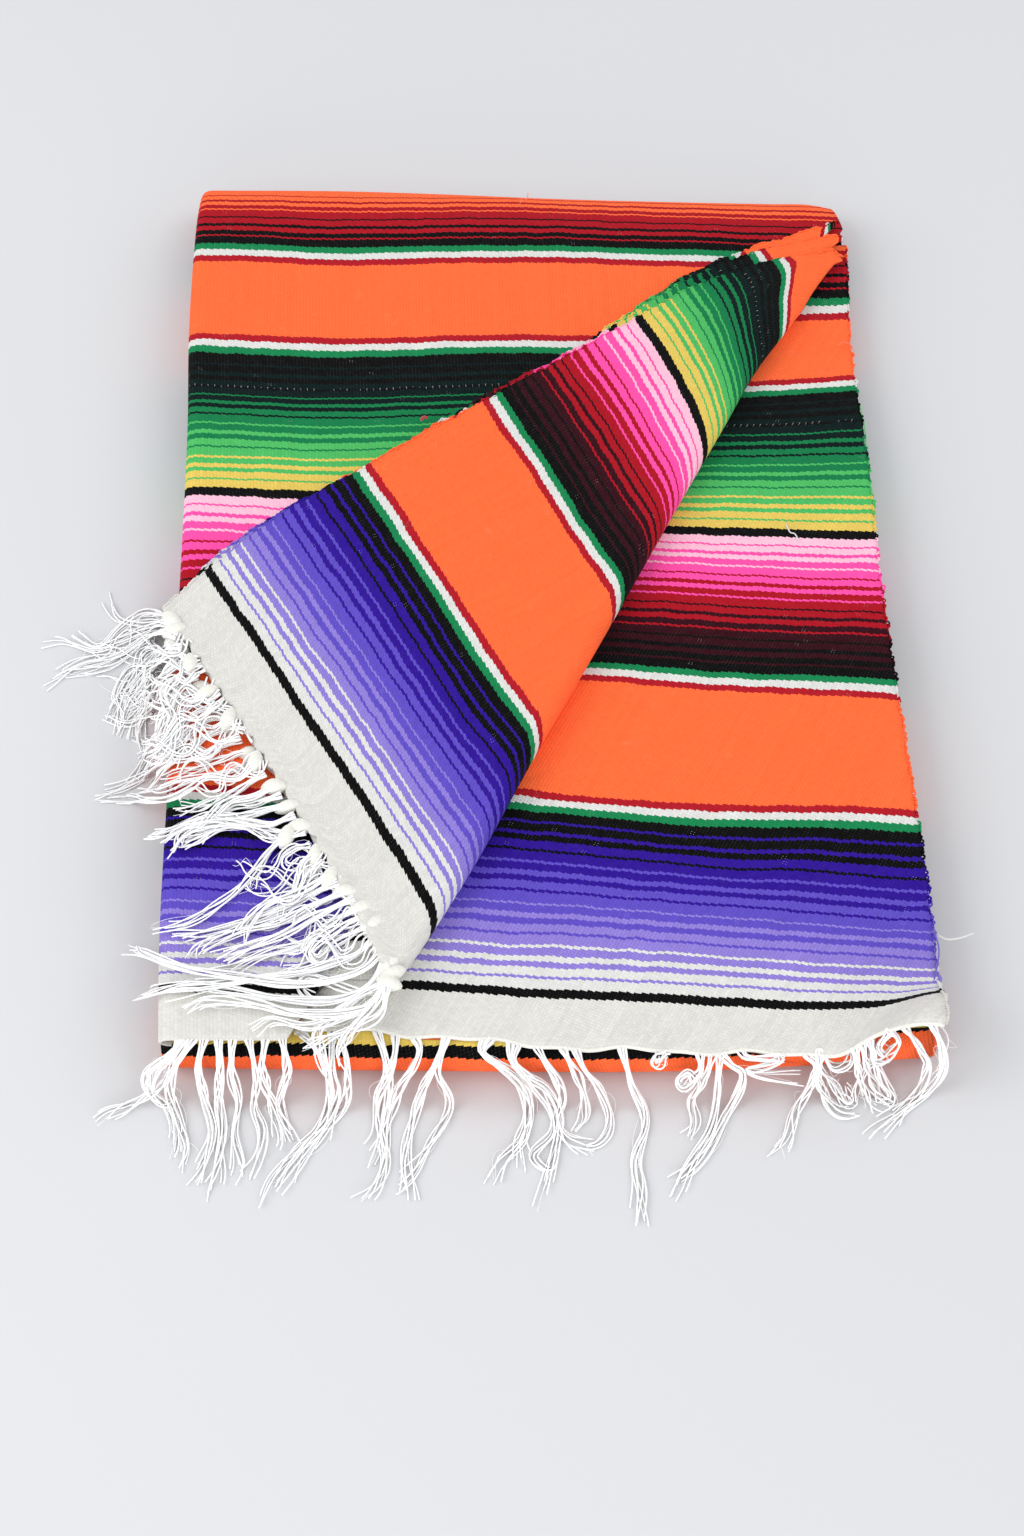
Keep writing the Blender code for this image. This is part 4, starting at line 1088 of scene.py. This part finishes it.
def hidden_plies(material):
    """The folded plies under the sheets, rounded and creased at the ends."""
    left_place, right_place = LEFT_OUTLINE[0][1], RIGHT_OUTLINE[0][1]
    wrapped = 2 * (SIDE_FOLD_RISE + SEAM)
    rings = end_plies(left_place, wrapped, -1)[::-1]
    rings.append(hidden_section(left_place, wrapped, inset=MARGIN, side=-1))
    rings.append(hidden_section(left_place, PITCH, inset=MARGIN + SEAM, side=-1))
    rings += [hidden_section(x, PITCH) for x in np.linspace(*SECTIONS)]
    rings += end_plies(right_place, PITCH, 1)
    grid = np.stack(rings)
    x, y, z = np.moveaxis(grid, -1, 0)
    near = through(NEAR_OUTLINE, x)[0] + NEAR_FOLD_REACH
    fall = np.clip((HIDDEN_TOP - z) / HIDDEN_TOP, 0, 1)
    over = np.where(y < near, FOLD_FIRST + FOLD_ROUND * np.sqrt(fall) + FOLD_BELOW * fall, near - y)
    over = over + FOLD_SHIFT * ramp(x, *FOLD_SHIFT_X)
    warp = np.where(y < near + FOLD_BAND, FOLD_BLACK + over, y - FRONT_HEM_Y)
    places = np.stack((x + END_RIBS * z, warp), -1).reshape(-1, 2)
    cloth = finish_mesh("hidden_cloth", grid.reshape(-1, 3), wound(grid), places, material)
    return stand_for(cloth, "hidden_plies")


web = cloth_material("woven_wool")
cloth_front = front_sheet(web)
cloth_back, back_edge, back_hem = back_sheet(web)
cloth_outer, outer_edge = turned_sheet(LAYER_OUTER, "outer", *OUTER_GRID, web)
cloth_middle, middle_edge = turned_sheet(LAYER_MIDDLE, "middle", *UNDER_GRID, web)
cloth_inner, inner_edge = turned_sheet(LAYER_INNER, "inner", *UNDER_GRID, web)
cloth_hidden = hidden_plies(web)

# The fringe: radius of a yarn, width of a bundle, and how far a yarn strays, parts at its end and rises
YARN, BUNDLE = 0.00048, 0.0017
YARN_STRAY, YARN_PARTING, YARN_RISE = 0.0008, 0.0050, 0.0008
# Where a bundle comes down beside the pack, and how soon it reaches the pack from its root
DROP_START, DROP_WIDTH = 0.0015, 0.0150
ROOT_EASE = 0.0120
# Points at which a course is laid and then kept, and how far its heights move in a round
LAID_POINTS, COURSE_POINTS, LAID_PACE = 100, 40, 0.4
YARN_SIDES, THREAD_SIDES, KNOT_SIDES, CORD_SIDES = 5, 6, 10, 8
# Single fibres: their radius, number to a bundle, points, lowest place and rise
HAIR, HAIRS, HAIR_POINTS, HAIR_LOWEST, HAIR_RISE = 0.00011, 3, 12, 0.0002, 0.001
# A knot at the turned hem: its thickness, length, start behind the root, drop, fall and points
KNOT, KNOT_LENGTH, KNOT_BACK, KNOT_DROP, KNOT_FALL, KNOT_POINTS = 0.0041, 0.0135, 0.0062, 0.0012, 0.0030, 12
CORD = 0.0011  # radius of the back hem's cord
FRONT_ROOT, INNER_ROOT, OUTER_ROOT = FRONT_TOP - 0.0008, 0.0350, 0.0400  # heights of roots
FRINGE_TONE, KNOT_TONE = linear(252, 252, 252), linear(224, 223, 214)

# Courses of the yarn bundles as they lie in the photograph. A window has its left and upper edge there, and
# its scale. Under its window, a course has its number of yarns and then its bends, in the window's pixels.
WINDOWS = {"left": (20, 570, 3), "corner": (90, 1010, 5), "near": (380, 990, 5), "right": (680, 960, 5)}
INNER_COURSES = {
    "left": (
        (7, (470, 200), (400, 265), (335, 330), (295, 400), (275, 470)),
        (7, (480, 220), (410, 290), (350, 355), (310, 420), (290, 500)),
        (6, (490, 240), (430, 310), (385, 370), (335, 450), (310, 515)),
        (7, (500, 270), (425, 335), (375, 430), (362, 500), (380, 565)),
        (6, (515, 290), (445, 350), (400, 415), (330, 465), (258, 430)),
        (7, (530, 320), (475, 355), (432, 430), (402, 520), (350, 565)),
        (6, (545, 350), (485, 385), (425, 460), (382, 560), (330, 655)),
        (6, (570, 385), (510, 410), (440, 480), (400, 570), (360, 620)),
        (6, (590, 410), (530, 430), (460, 500), (410, 590), (310, 655), (222, 682)),
        (6, (615, 440), (545, 462), (470, 530), (432, 565), (372, 602)),
        (6, (640, 470), (570, 500), (500, 545), (432, 600), (390, 662)),
        (6, (665, 510), (600, 532), (540, 556), (470, 568), (400, 540)),
        (6, (690, 545), (625, 562), (560, 590), (482, 612), (420, 642)),
        (6, (705, 575), (645, 600), (562, 622), (480, 640), (410, 662), (350, 652)),
    ),
}
OUTER_COURSES = {
    "left": (
        (6, (455, 140), (372, 132), (300, 180), (232, 235), (130, 182)),
        (6, (460, 160), (382, 178), (302, 214), (222, 244), (130, 212), (60, 214)),
        (6, (465, 175), (384, 205), (300, 258), (180, 282), (60, 352)),
        (6, (470, 200), (402, 190), (335, 245), (240, 300), (100, 322)),
        (4, (458, 150), (380, 160), (300, 150), (262, 100), (255, 52)),
        (7, (485, 230), (440, 240), (390, 290), (330, 300), (290, 380), (320, 440)),
        (7, (510, 275), (460, 250), (400, 300), (360, 390), (300, 420)),
        (6, (530, 310), (500, 340), (470, 330), (430, 380), (460, 440), (420, 480)),
        (6, (560, 360), (520, 400), (470, 380), (420, 440), (370, 430)),
        (6, (590, 400), (540, 450), (480, 440), (450, 500), (390, 560)),
        (6, (625, 440), (580, 480), (520, 470), (470, 540), (420, 600)),
        (6, (660, 500), (610, 520), (560, 560), (500, 530), (440, 590)),
        (7, (705, 570), (655, 628), (562, 622), (500, 662), (430, 692), (320, 688), (232, 682)),
        (7, (735, 610), (672, 650), (602, 688), (532, 716), (452, 738)),
        (7, (765, 645), (702, 682), (622, 702), (542, 762), (476, 800), (460, 858)),
        (8, (785, 675), (712, 702), (632, 712), (562, 788), (482, 832)),
        (8, (805, 705), (742, 722), (652, 742), (562, 742), (470, 782), (380, 802)),
        (8, (825, 735), (762, 762), (692, 762), (602, 762), (502, 782), (420, 852)),
        (8, (842, 765), (782, 790), (702, 772), (612, 772), (522, 812), (442, 832)),
        (5, (855, 785), (782, 812), (722, 792), (652, 762), (592, 742)),
        (6, (800, 790), (748, 848), (692, 922), (602, 1002), (502, 1060), (392, 1080)),
        (4, (872, 825), (826, 842), (790, 866), (802, 892), (846, 880), (852, 846)),
        (5, (885, 850), (852, 880), (842, 930), (826, 962), (856, 900), (892, 880)),
        (6, (905, 870), (880, 900), (858, 930), (872, 868), (850, 850)),
        (8, (930, 915), (852, 962), (742, 1002), (682, 1062), (652, 1122)),
        (8, (955, 935), (862, 982), (722, 1042), (602, 1082), (482, 1102), (432, 1112)),
        (8, (980, 960), (882, 1012), (762, 1062), (642, 1092), (542, 1132), (522, 1172)),
        (8, (1005, 985), (902, 1032), (792, 1092), (692, 1132), (562, 1170)),
        (8, (1025, 1010), (932, 1062), (852, 1122), (742, 1152), (642, 1182), (562, 1202)),
        (7, (1045, 1035), (962, 1072), (902, 1112), (872, 1152), (902, 1172), (944, 1130)),
        (8, (1065, 1060), (1002, 1092), (942, 1122), (902, 1162), (842, 1202), (742, 1222)),
        (8, (1080, 1090), (1012, 1152), (932, 1182), (832, 1212), (702, 1232), (562, 1252), (422, 1262)),
        (7, (1095, 1120), (1042, 1192), (942, 1232), (802, 1242), (652, 1222), (522, 1202), (422, 1172),
         (322, 1130)),
        (8, (1105, 1150), (1052, 1242), (942, 1292), (802, 1292), (642, 1262), (502, 1252), (352, 1282)),
        (8, (1115, 1175), (1082, 1282), (982, 1332), (842, 1332), (702, 1302), (562, 1292), (482, 1332)),
        (6, (1118, 1190), (1060, 1262), (962, 1252), (862, 1222), (842, 1262), (902, 1302)),
        (7, (1120, 1205), (1042, 1312), (962, 1342), (862, 1372), (760, 1352), (700, 1392)),
        (7, (1118, 1220), (1062, 1300), (982, 1402), (962, 1452), (982, 1502)),
        (7, (1110, 1235), (1030, 1272), (902, 1372), (902, 1452), (932, 1522)),
        (6, (1100, 1250), (1090, 1320), (1042, 1362), (932, 1402), (842, 1440)),
    ),
}
FRONT_COURSES = {
    "corner": (
        (7, (470, 130), (400, 230), (292, 312), (292, 402), (362, 472), (442, 452)),
        (7, (490, 130), (422, 222), (342, 302), (312, 402), (392, 482), (422, 602), (412, 742)),
        (6, (530, 130), (432, 282), (402, 402), (442, 562), (482, 702), (452, 822)),
        (6, (450, 140), (382, 332), (282, 432), (182, 482), (92, 522), (22, 592)),
        (7, (575, 130), (545, 292), (572, 452), (612, 622), (562, 782), (492, 902)),
        (7, (640, 130), (652, 302), (642, 462), (662, 622), (632, 802), (562, 962)),
        (6, (715, 130), (705, 302), (742, 462), (722, 622), (742, 782), (700, 902)),
        (6, (790, 130), (832, 332), (822, 482), (862, 602), (842, 742), (790, 860)),
        (6, (880, 130), (862, 292), (912, 482), (962, 642), (952, 722)),
        (6, (960, 132), (985, 300), (950, 460), (1000, 600), (1060, 680)),
    ),
}
BACK_COURSES = {
    "corner": (
        (6, (1050, 135), (1125, 192), (1182, 302), (1192, 452), (1142, 602), (1042, 702), (922, 852),
         (852, 1002)),
        (6, (1200, 140), (1212, 302), (1230, 422), (1182, 562), (1102, 682), (1032, 782), (962, 902),
         (922, 992)),
        (5, (1240, 140), (1282, 252), (1292, 402), (1252, 502), (1182, 602), (1102, 700)),
        (6, (1425, 130), (1482, 262), (1490, 402), (1462, 602), (1482, 752), (1422, 902), (1322, 1002)),
    ),
    "near": (
        (6, (82, 232), (76, 332), (42, 422), (0, 522), (-20, 640), (-10, 760), (-60, 900)),
        (6, (172, 232), (198, 302), (162, 402), (102, 492), (42, 652), (10, 800), (-30, 920)),
        (7, (332, 238), (302, 322), (242, 442), (172, 622), (132, 822), (142, 1072)),
        (5, (345, 240), (292, 402), (350, 552), (332, 652), (242, 792), (132, 962), (72, 1032)),
        (7, (535, 240), (508, 312), (600, 382), (702, 482), (742, 602), (722, 742), (602, 862), (552, 985)),
        (5, (545, 245), (520, 322), (640, 402), (732, 502), (742, 642), (700, 762), (730, 920)),
        (6, (662, 250), (658, 352), (732, 432), (832, 502), (902, 642), (882, 802), (832, 952),
         (792, 1092)),
        (5, (672, 255), (672, 362), (762, 462), (852, 602), (862, 722), (762, 832), (850, 900), (890, 800)),
        (6, (782, 255), (822, 352), (892, 472), (912, 562), (892, 652), (932, 742), (1012, 792),
         (1082, 826)),
        (5, (905, 275), (952, 372), (1012, 482), (1022, 582), (1012, 652), (942, 702)),
        (5, (990, 272), (1012, 382), (1092, 502), (1152, 622), (1132, 722), (1062, 772), (962, 742)),
        (8, (1195, 290), (1232, 382), (1262, 492), (1312, 602), (1322, 702), (1282, 852), (1302, 1002),
         (1302, 1192)),
        (4, (1425, 305), (1372, 362), (1392, 378), (1436, 322)),
    ),
    "right": (
        (6, (95, 462), (100, 552), (62, 602), (12, 642), (-10, 602), (40, 562), (72, 622), (20, 680)),
        (5, (165, 465), (142, 562), (112, 602), (62, 702), (72, 822), (2, 922)),
        (6, (200, 465), (262, 532), (312, 572), (282, 682), (182, 882), (62, 1042), (-38, 1150)),
        (6, (185, 465), (192, 602), (180, 702), (132, 882), (22, 1082), (-48, 1198)),
        (5, (290, 465), (342, 492), (512, 492), (432, 532), (332, 552), (420, 580), (640, 590)),
        (6, (640, 470), (682, 542), (642, 642), (572, 762), (532, 902), (472, 1012)),
        (6, (690, 470), (690, 582), (732, 702), (802, 772), (902, 774)),
        (5, (700, 470), (700, 540), (780, 640), (830, 720), (860, 700), (800, 600)),
        (6, (700, 440), (702, 452), (762, 540), (842, 520), (862, 452), (782, 382), (742, 352)),
        (6, (880, 440), (902, 602), (962, 702), (1042, 762)),
        (6, (920, 425), (952, 582), (1012, 682), (1062, 722)),
        (6, (950, 415), (992, 562), (1062, 692), (1000, 742)),
        (5, (1055, 365), (1092, 422), (1022, 492), (962, 482), (992, 402), (1042, 382)),
        (5, (1040, 370), (1000, 440), (1020, 500), (940, 520), (900, 640), (930, 740)),
        (6, (1120, 325), (1202, 452), (1240, 522), (1212, 622), (1132, 722), (1042, 802)),
        (6, (1270, 310), (1302, 432), (1312, 562), (1242, 662), (1122, 742), (1002, 842), (932, 912)),
        (2, (1240, 315), (1300, 360), (1330, 420), (1310, 520), (1230, 640)),
    ),
}
# Tangled yarns of the turned hem: where their roots run in the left window, and their headings there
TANGLE_START, TANGLE_END = (460, 150), (1110, 1160)
TANGLE_RUNS = ((0.00, 0.42, 18), (0.68, 1.00, 10))  # from and to as shares of that line, and how many
TANGLE_HEADING, TANGLE_STRAY, TANGLE_SWING = (158, 172), 14, 62
TANGLE_BENDS, TANGLE_STEP, TANGLE_PACE = 9, 44, (0.9, 1.5)
# How high the courses lie over what is under them, by turns
BACK_LIFTS = (0.0, 0.0006, 0.0012)
TURNED_LIFTS = (0.0010, 0.0026, 0.0042, 0.0018, 0.0034)


def in_order(table):
    """The courses of a table, each with its window, count and bends."""
    return [(window, count, bends) for window, rows in table.items() for count, *bends in rows]


def lying_height(x, y, top, lift):
    """Height of a yarn that lies on the pack or comes down beside it to the floor."""
    outside = np.maximum(through(LEFT_OUTLINE, y)[0] - x, through(NEAR_OUTLINE, x)[0] - y)
    start = DROP_START + lift
    return (top + lift) * (1 - ramp(outside, start, start + DROP_WIDTH)) + YARN


def laid(window, bends, root_z, top, lift):
    """A course as a path over the pack and down beside it to the floor."""
    left, upper, scale = WINDOWS[window]
    rows = [(number, left + a / scale, upper + b / scale) for number, (a, b) in enumerate(bends)]
    px, py = through(rows, np.linspace(0, len(rows) - 1, LAID_POINTS))
    z = np.full(LAID_POINTS, root_z)
    for _ in range(LAID_ROUNDS):
        points = picture_place(px, py, z)
        level = lying_height(points[:, 0], points[:, 1], top, lift)
        z = z + LAID_PACE * (root_z + (level - root_z) * ramp(distances(points[:, :2]), 0, ROOT_EASE) - z)
    z[2:-2] = (z[:-4] + z[1:-3] + z[2:-2] + z[3:-1] + z[4:]) / 5
    path = picture_place(px, py, z)
    run = distances(path)
    return points_at(np.linspace(0, run[-1], COURSE_POINTS), run, path)


def yarns(path, count):
    """The yarns of a bundle: side by side, slowly twisting, and parting at their ends."""
    routes = []
    steps = len(path)
    part = np.linspace(0, 1, steps)
    width = 1.2 - 0.6 * ramp(part, 0, 0.12) + 0.5 * ramp(part, 0.12, 0.4) + 0.5 * ramp(part, 0.7, 1)
    turn = ORDER.uniform(0, FULL_TURN)
    twist = ORDER.uniform(-5.0, 5.0)
    for number in range(count):
        end = ORDER.uniform(0.84, 1.0)
        own = points_at(np.linspace(0, end, steps) * (steps - 1), np.arange(steps), path)
        side = unit(np.cross(np.gradient(own, axis=0), (0.0, 0.0, 1.0)))
        angle = turn + FULL_TURN * number / count + twist * part
        wave = np.sin(part * ORDER.uniform(6, 16) + ORDER.uniform(0, FULL_TURN))
        stray = YARN_STRAY * wave * ramp(part, 0, 0.3)
        stray = stray + ORDER.uniform(-1, 1) * YARN_PARTING * ramp(part, 0.78, 1.15)
        own = own + side * (BUNDLE * width * np.cos(angle) + stray)[:, None]
        own[:, 2] += YARN_RISE * (1 + np.sin(angle)) * (0.4 + 0.6 * ramp(part, 0, 0.1))
        own[:, 2] = np.maximum(own[:, 2], YARN)
        routes.append((own, YARN * (1.05 - 0.30 * part**2)))
    return routes


def hairs(path):
    """Single fibres that stand off a bundle."""
    routes = []
    part = np.linspace(0, 1, HAIR_POINTS)
    for _ in range(HAIRS):
        first = ORDER.uniform(0.1, 0.8)
        last = min(first + ORDER.uniform(0.15, 0.35), 1.0)
        at = np.linspace(first, last, HAIR_POINTS) * (len(path) - 1)
        own = points_at(at, np.arange(len(path)), path)
        angle = ORDER.uniform(0, FULL_TURN)
        away = ORDER.uniform(0.002, 0.006) * np.sin(part * ORDER.uniform(2, 5))
        own[:, 0] += away * math.cos(angle)
        own[:, 1] += away * math.sin(angle)
        own[:, 2] = np.maximum(own[:, 2] + HAIR_RISE * part, HAIR_LOWEST)
        routes.append((own, np.full(HAIR_POINTS, HAIR)))
    return routes


def knot(path):
    """A lump of the knotted hem at a bundle's root."""
    ahead_x, ahead_y, _ = unit((path[3] - path[0]) * (1, 1, 0))
    swing = ORDER.uniform(-0.7, 0.9)
    cosine, sine = math.cos(swing), math.sin(swing)
    ahead = np.array((ahead_x * cosine - ahead_y * sine, ahead_x * sine + ahead_y * cosine, 0.0))
    part = np.linspace(0, 1, KNOT_POINTS)
    own = path[0] + ahead * (part[:, None] * KNOT_LENGTH - KNOT_BACK)
    own[:, 2] = path[0][2] - KNOT_DROP - KNOT_FALL * part**2
    return own, KNOT * np.sin(math.pi * (0.04 + 0.92 * part)) ** 0.7 * ORDER.uniform(0.85, 1.1)


def rooted(window, bends, hem):
    """A course with its root moved on to the hem, and the root's height."""
    left, upper, scale = WINDOWS[window]
    px, py = in_picture(hem)
    root = np.abs(px - left - bends[0][0] / scale).argmin()
    start = ((px[root] - left) * scale, (py[root] - upper) * scale)
    return (start, *bends[1:]), float(hem[root, 2])


def tangle(part):
    """A course of two or three yarns that wanders to and fro."""
    x = TANGLE_START[0] + part * (TANGLE_END[0] - TANGLE_START[0])
    y = TANGLE_START[1] + part * (TANGLE_END[1] - TANGLE_START[1])
    heading = TANGLE_HEADING[0] + part * (TANGLE_HEADING[1] - TANGLE_HEADING[0])
    heading += ORDER.uniform(-TANGLE_STRAY, TANGLE_STRAY)
    pace, phase = ORDER.uniform(*TANGLE_PACE), ORDER.uniform(0, FULL_TURN)
    bends = [(x, y)]
    for step in range(TANGLE_BENDS):
        angle = math.radians(heading + TANGLE_SWING * math.sin(pace * step + phase))
        x += TANGLE_STEP * math.cos(angle)
        y += TANGLE_STEP * math.sin(angle)
        bends.append((x, y))
    return "left", ORDER.choice((2, 3)), bends


def tangles():
    """All tangled courses, in turn from the selvedge end."""
    courses = []
    for start, end, count in TANGLE_RUNS:
        for number in range(count):
            courses.append(tangle(start + (end - start) * (number + ORDER.uniform(0.1, 0.9)) / count))
    return courses


def fringe_piece(word, courses, root_z, top, lifts, hem=None, knotted=0):
    """A row of fringe, and the knots at every second of its first courses."""
    routes, fine, knots = [], [], []
    for number, (window, count, bends) in enumerate(courses):
        if hem is not None:
            bends, root_z = rooted(window, bends, hem)
        path = laid(window, bends, root_z, top, lifts[number % len(lifts)])
        routes += yarns(path, count)
        fine += hairs(path)
        if number % 2 == 0 and number < knotted:
            knots.append(knot(path))
    piece = strands(f"fringe_{word}_yarns", routes + fine, white_yarn, YARN_SIDES)
    return stand_for(piece, f"fringe_{word}"), knots


white_yarn = yarn_material("fringe_yarn", FRINGE_TONE)
cream_yarn = yarn_material("knot_yarn", KNOT_TONE)
inner_courses, outer_courses = in_order(INNER_COURSES), in_order(OUTER_COURSES)
fringe_back, _ = fringe_piece("back", in_order(BACK_COURSES), 0.0, BACK_UNDER, BACK_LIFTS, back_hem)
fringe_front, _ = fringe_piece("front", in_order(FRONT_COURSES), FRONT_ROOT, FRONT_UNDER, BACK_LIFTS)
fringe_inner, inner_knots = fringe_piece(
    "turned_inner", inner_courses, INNER_ROOT, FRONT_TOP, BACK_LIFTS, knotted=len(inner_courses)
)
fringe_outer, outer_knots = fringe_piece(
    "turned_outer", outer_courses + tangles(), OUTER_ROOT, FRONT_TOP, TURNED_LIFTS, knotted=len(outer_courses)
)

LOOSE_POINTS = 24
# Loose threads at the selvedges, and loose ends: their tone, radius and height, and their bends as they lie
# in the photograph
LOOSE_THREADS = (
    ("hot_pink", 0.0005, 0.0225, ((868, 536), (874, 560), (871, 590), (877, 622))),
    ("light_green", 0.0004, 0.0215, ((860, 404), (866, 440), (862, 480), (868, 522), (872, 556))),
    ("violet", 0.0004, 0.0270, ((934, 930), (939, 950), (936, 972), (931, 992))),
    ("white", 0.0005, 0.0250, ((932, 931), (946, 939), (960, 938), (974, 933))),
    ("white", 0.0004, 0.0255, ((786, 524), (790, 532), (795, 534), (799, 541))),
    ("orange", 0.0003, 0.0240, ((838, 345), (844, 342), (850, 344))),
    ("red", 0.0009, 0.0372, ((421, 420), (424, 417), (427, 418))),
    ("orange", 0.0003, 0.0340, ((520, 203), (523, 198), (527, 199), (528, 193))),
)


def loose(number, tone, radius, z, bends):
    """One of the loose threads."""
    rows = [(place, *bend) for place, bend in enumerate(bends)]
    px, py = through(rows, np.linspace(0, len(bends) - 1, LOOSE_POINTS))
    yarn = yarn_material(f"loose_yarn_{number}", TONES[tone])
    thread = strands(f"loose_thread_{number}", [(picture_place(px, py, z), radius)], yarn, THREAD_SIDES)


for number, row in enumerate(LOOSE_THREADS):
    loose(number, *row)
hem_knots = strands("turned_hem_knots", inner_knots + outer_knots, cream_yarn, KNOT_SIDES)
back_cord = strands("back_hem_cord", [(back_hem, CORD)], cream_yarn, CORD_SIDES)

# The studio
FLOOR_REACH, FLOOR_TONE = 6.0, linear(203, 204, 206)
SKY, SKY_STRENGTH = (0.97, 0.98, 1.0, 1.0), 0.88
# Softboxes, aimed at the middle of the pack's underside: name, place, size and power
SOFTBOXES = (
    ("key_right", (1.5, 0.5, 1.7), (1.5, 1.5), 11.0),
    ("fill_left", (-1.6, -0.3, 1.3), (1.6, 1.6), 20.0),
    ("fill_front", (0.1, -1.9, 0.42), (2.0, 0.7), 14.0),
)


def floor():
    """A plain pale floor."""
    mesh = bpy.data.meshes.new("studio_floor")
    corners = [(x * FLOOR_REACH, y * FLOOR_REACH, 0) for x, y in ((-1, -1), (1, -1), (1, 1), (-1, 1))]
    mesh.from_pydata(corners, [], [(0, 1, 2, 3)])
    nodes = Nodes("studio_floor")
    mesh.materials.append(nodes.finish(Base_Color=FLOOR_TONE, Roughness=0.85, Specular_IOR_Level=0.1))
    plane = bpy.data.objects.new("studio_floor", mesh)
    bpy.context.scene.collection.objects.link(plane)


def softbox(name, place, size, power):
    """A rectangular light aimed at the origin."""
    light = bpy.data.lights.new(name, "AREA")
    light.shape = "RECTANGLE"
    light.size, light.size_y = size
    light.energy = power
    lamp = bpy.data.objects.new(name, light)
    lamp.location = place
    x, y, z = place
    lamp.rotation_euler = (math.atan2(math.hypot(x, y), z), 0.0, math.atan2(-x, y) + math.pi)
    bpy.context.scene.collection.objects.link(lamp)


floor()
for box in SOFTBOXES:
    softbox(*box)
world = bpy.data.worlds.new("studio")
world.use_nodes = True
world.node_tree.nodes["Background"].inputs["Color"].default_value = SKY
world.node_tree.nodes["Background"].inputs["Strength"].default_value = SKY_STRENGTH
bpy.context.scene.world = world
bpy.context.scene.view_settings.view_transform = "Standard"

camera = bpy.data.cameras.new("camera")
camera.lens, camera.sensor_width = LENS, SENSOR
view_point = bpy.data.objects.new("camera", camera)
view_point.location = VIEW_PLACE
view_point.rotation_euler = (VIEW_TILT, 0.0, 0.0)
bpy.context.scene.collection.objects.link(view_point)
bpy.context.scene.camera = view_point
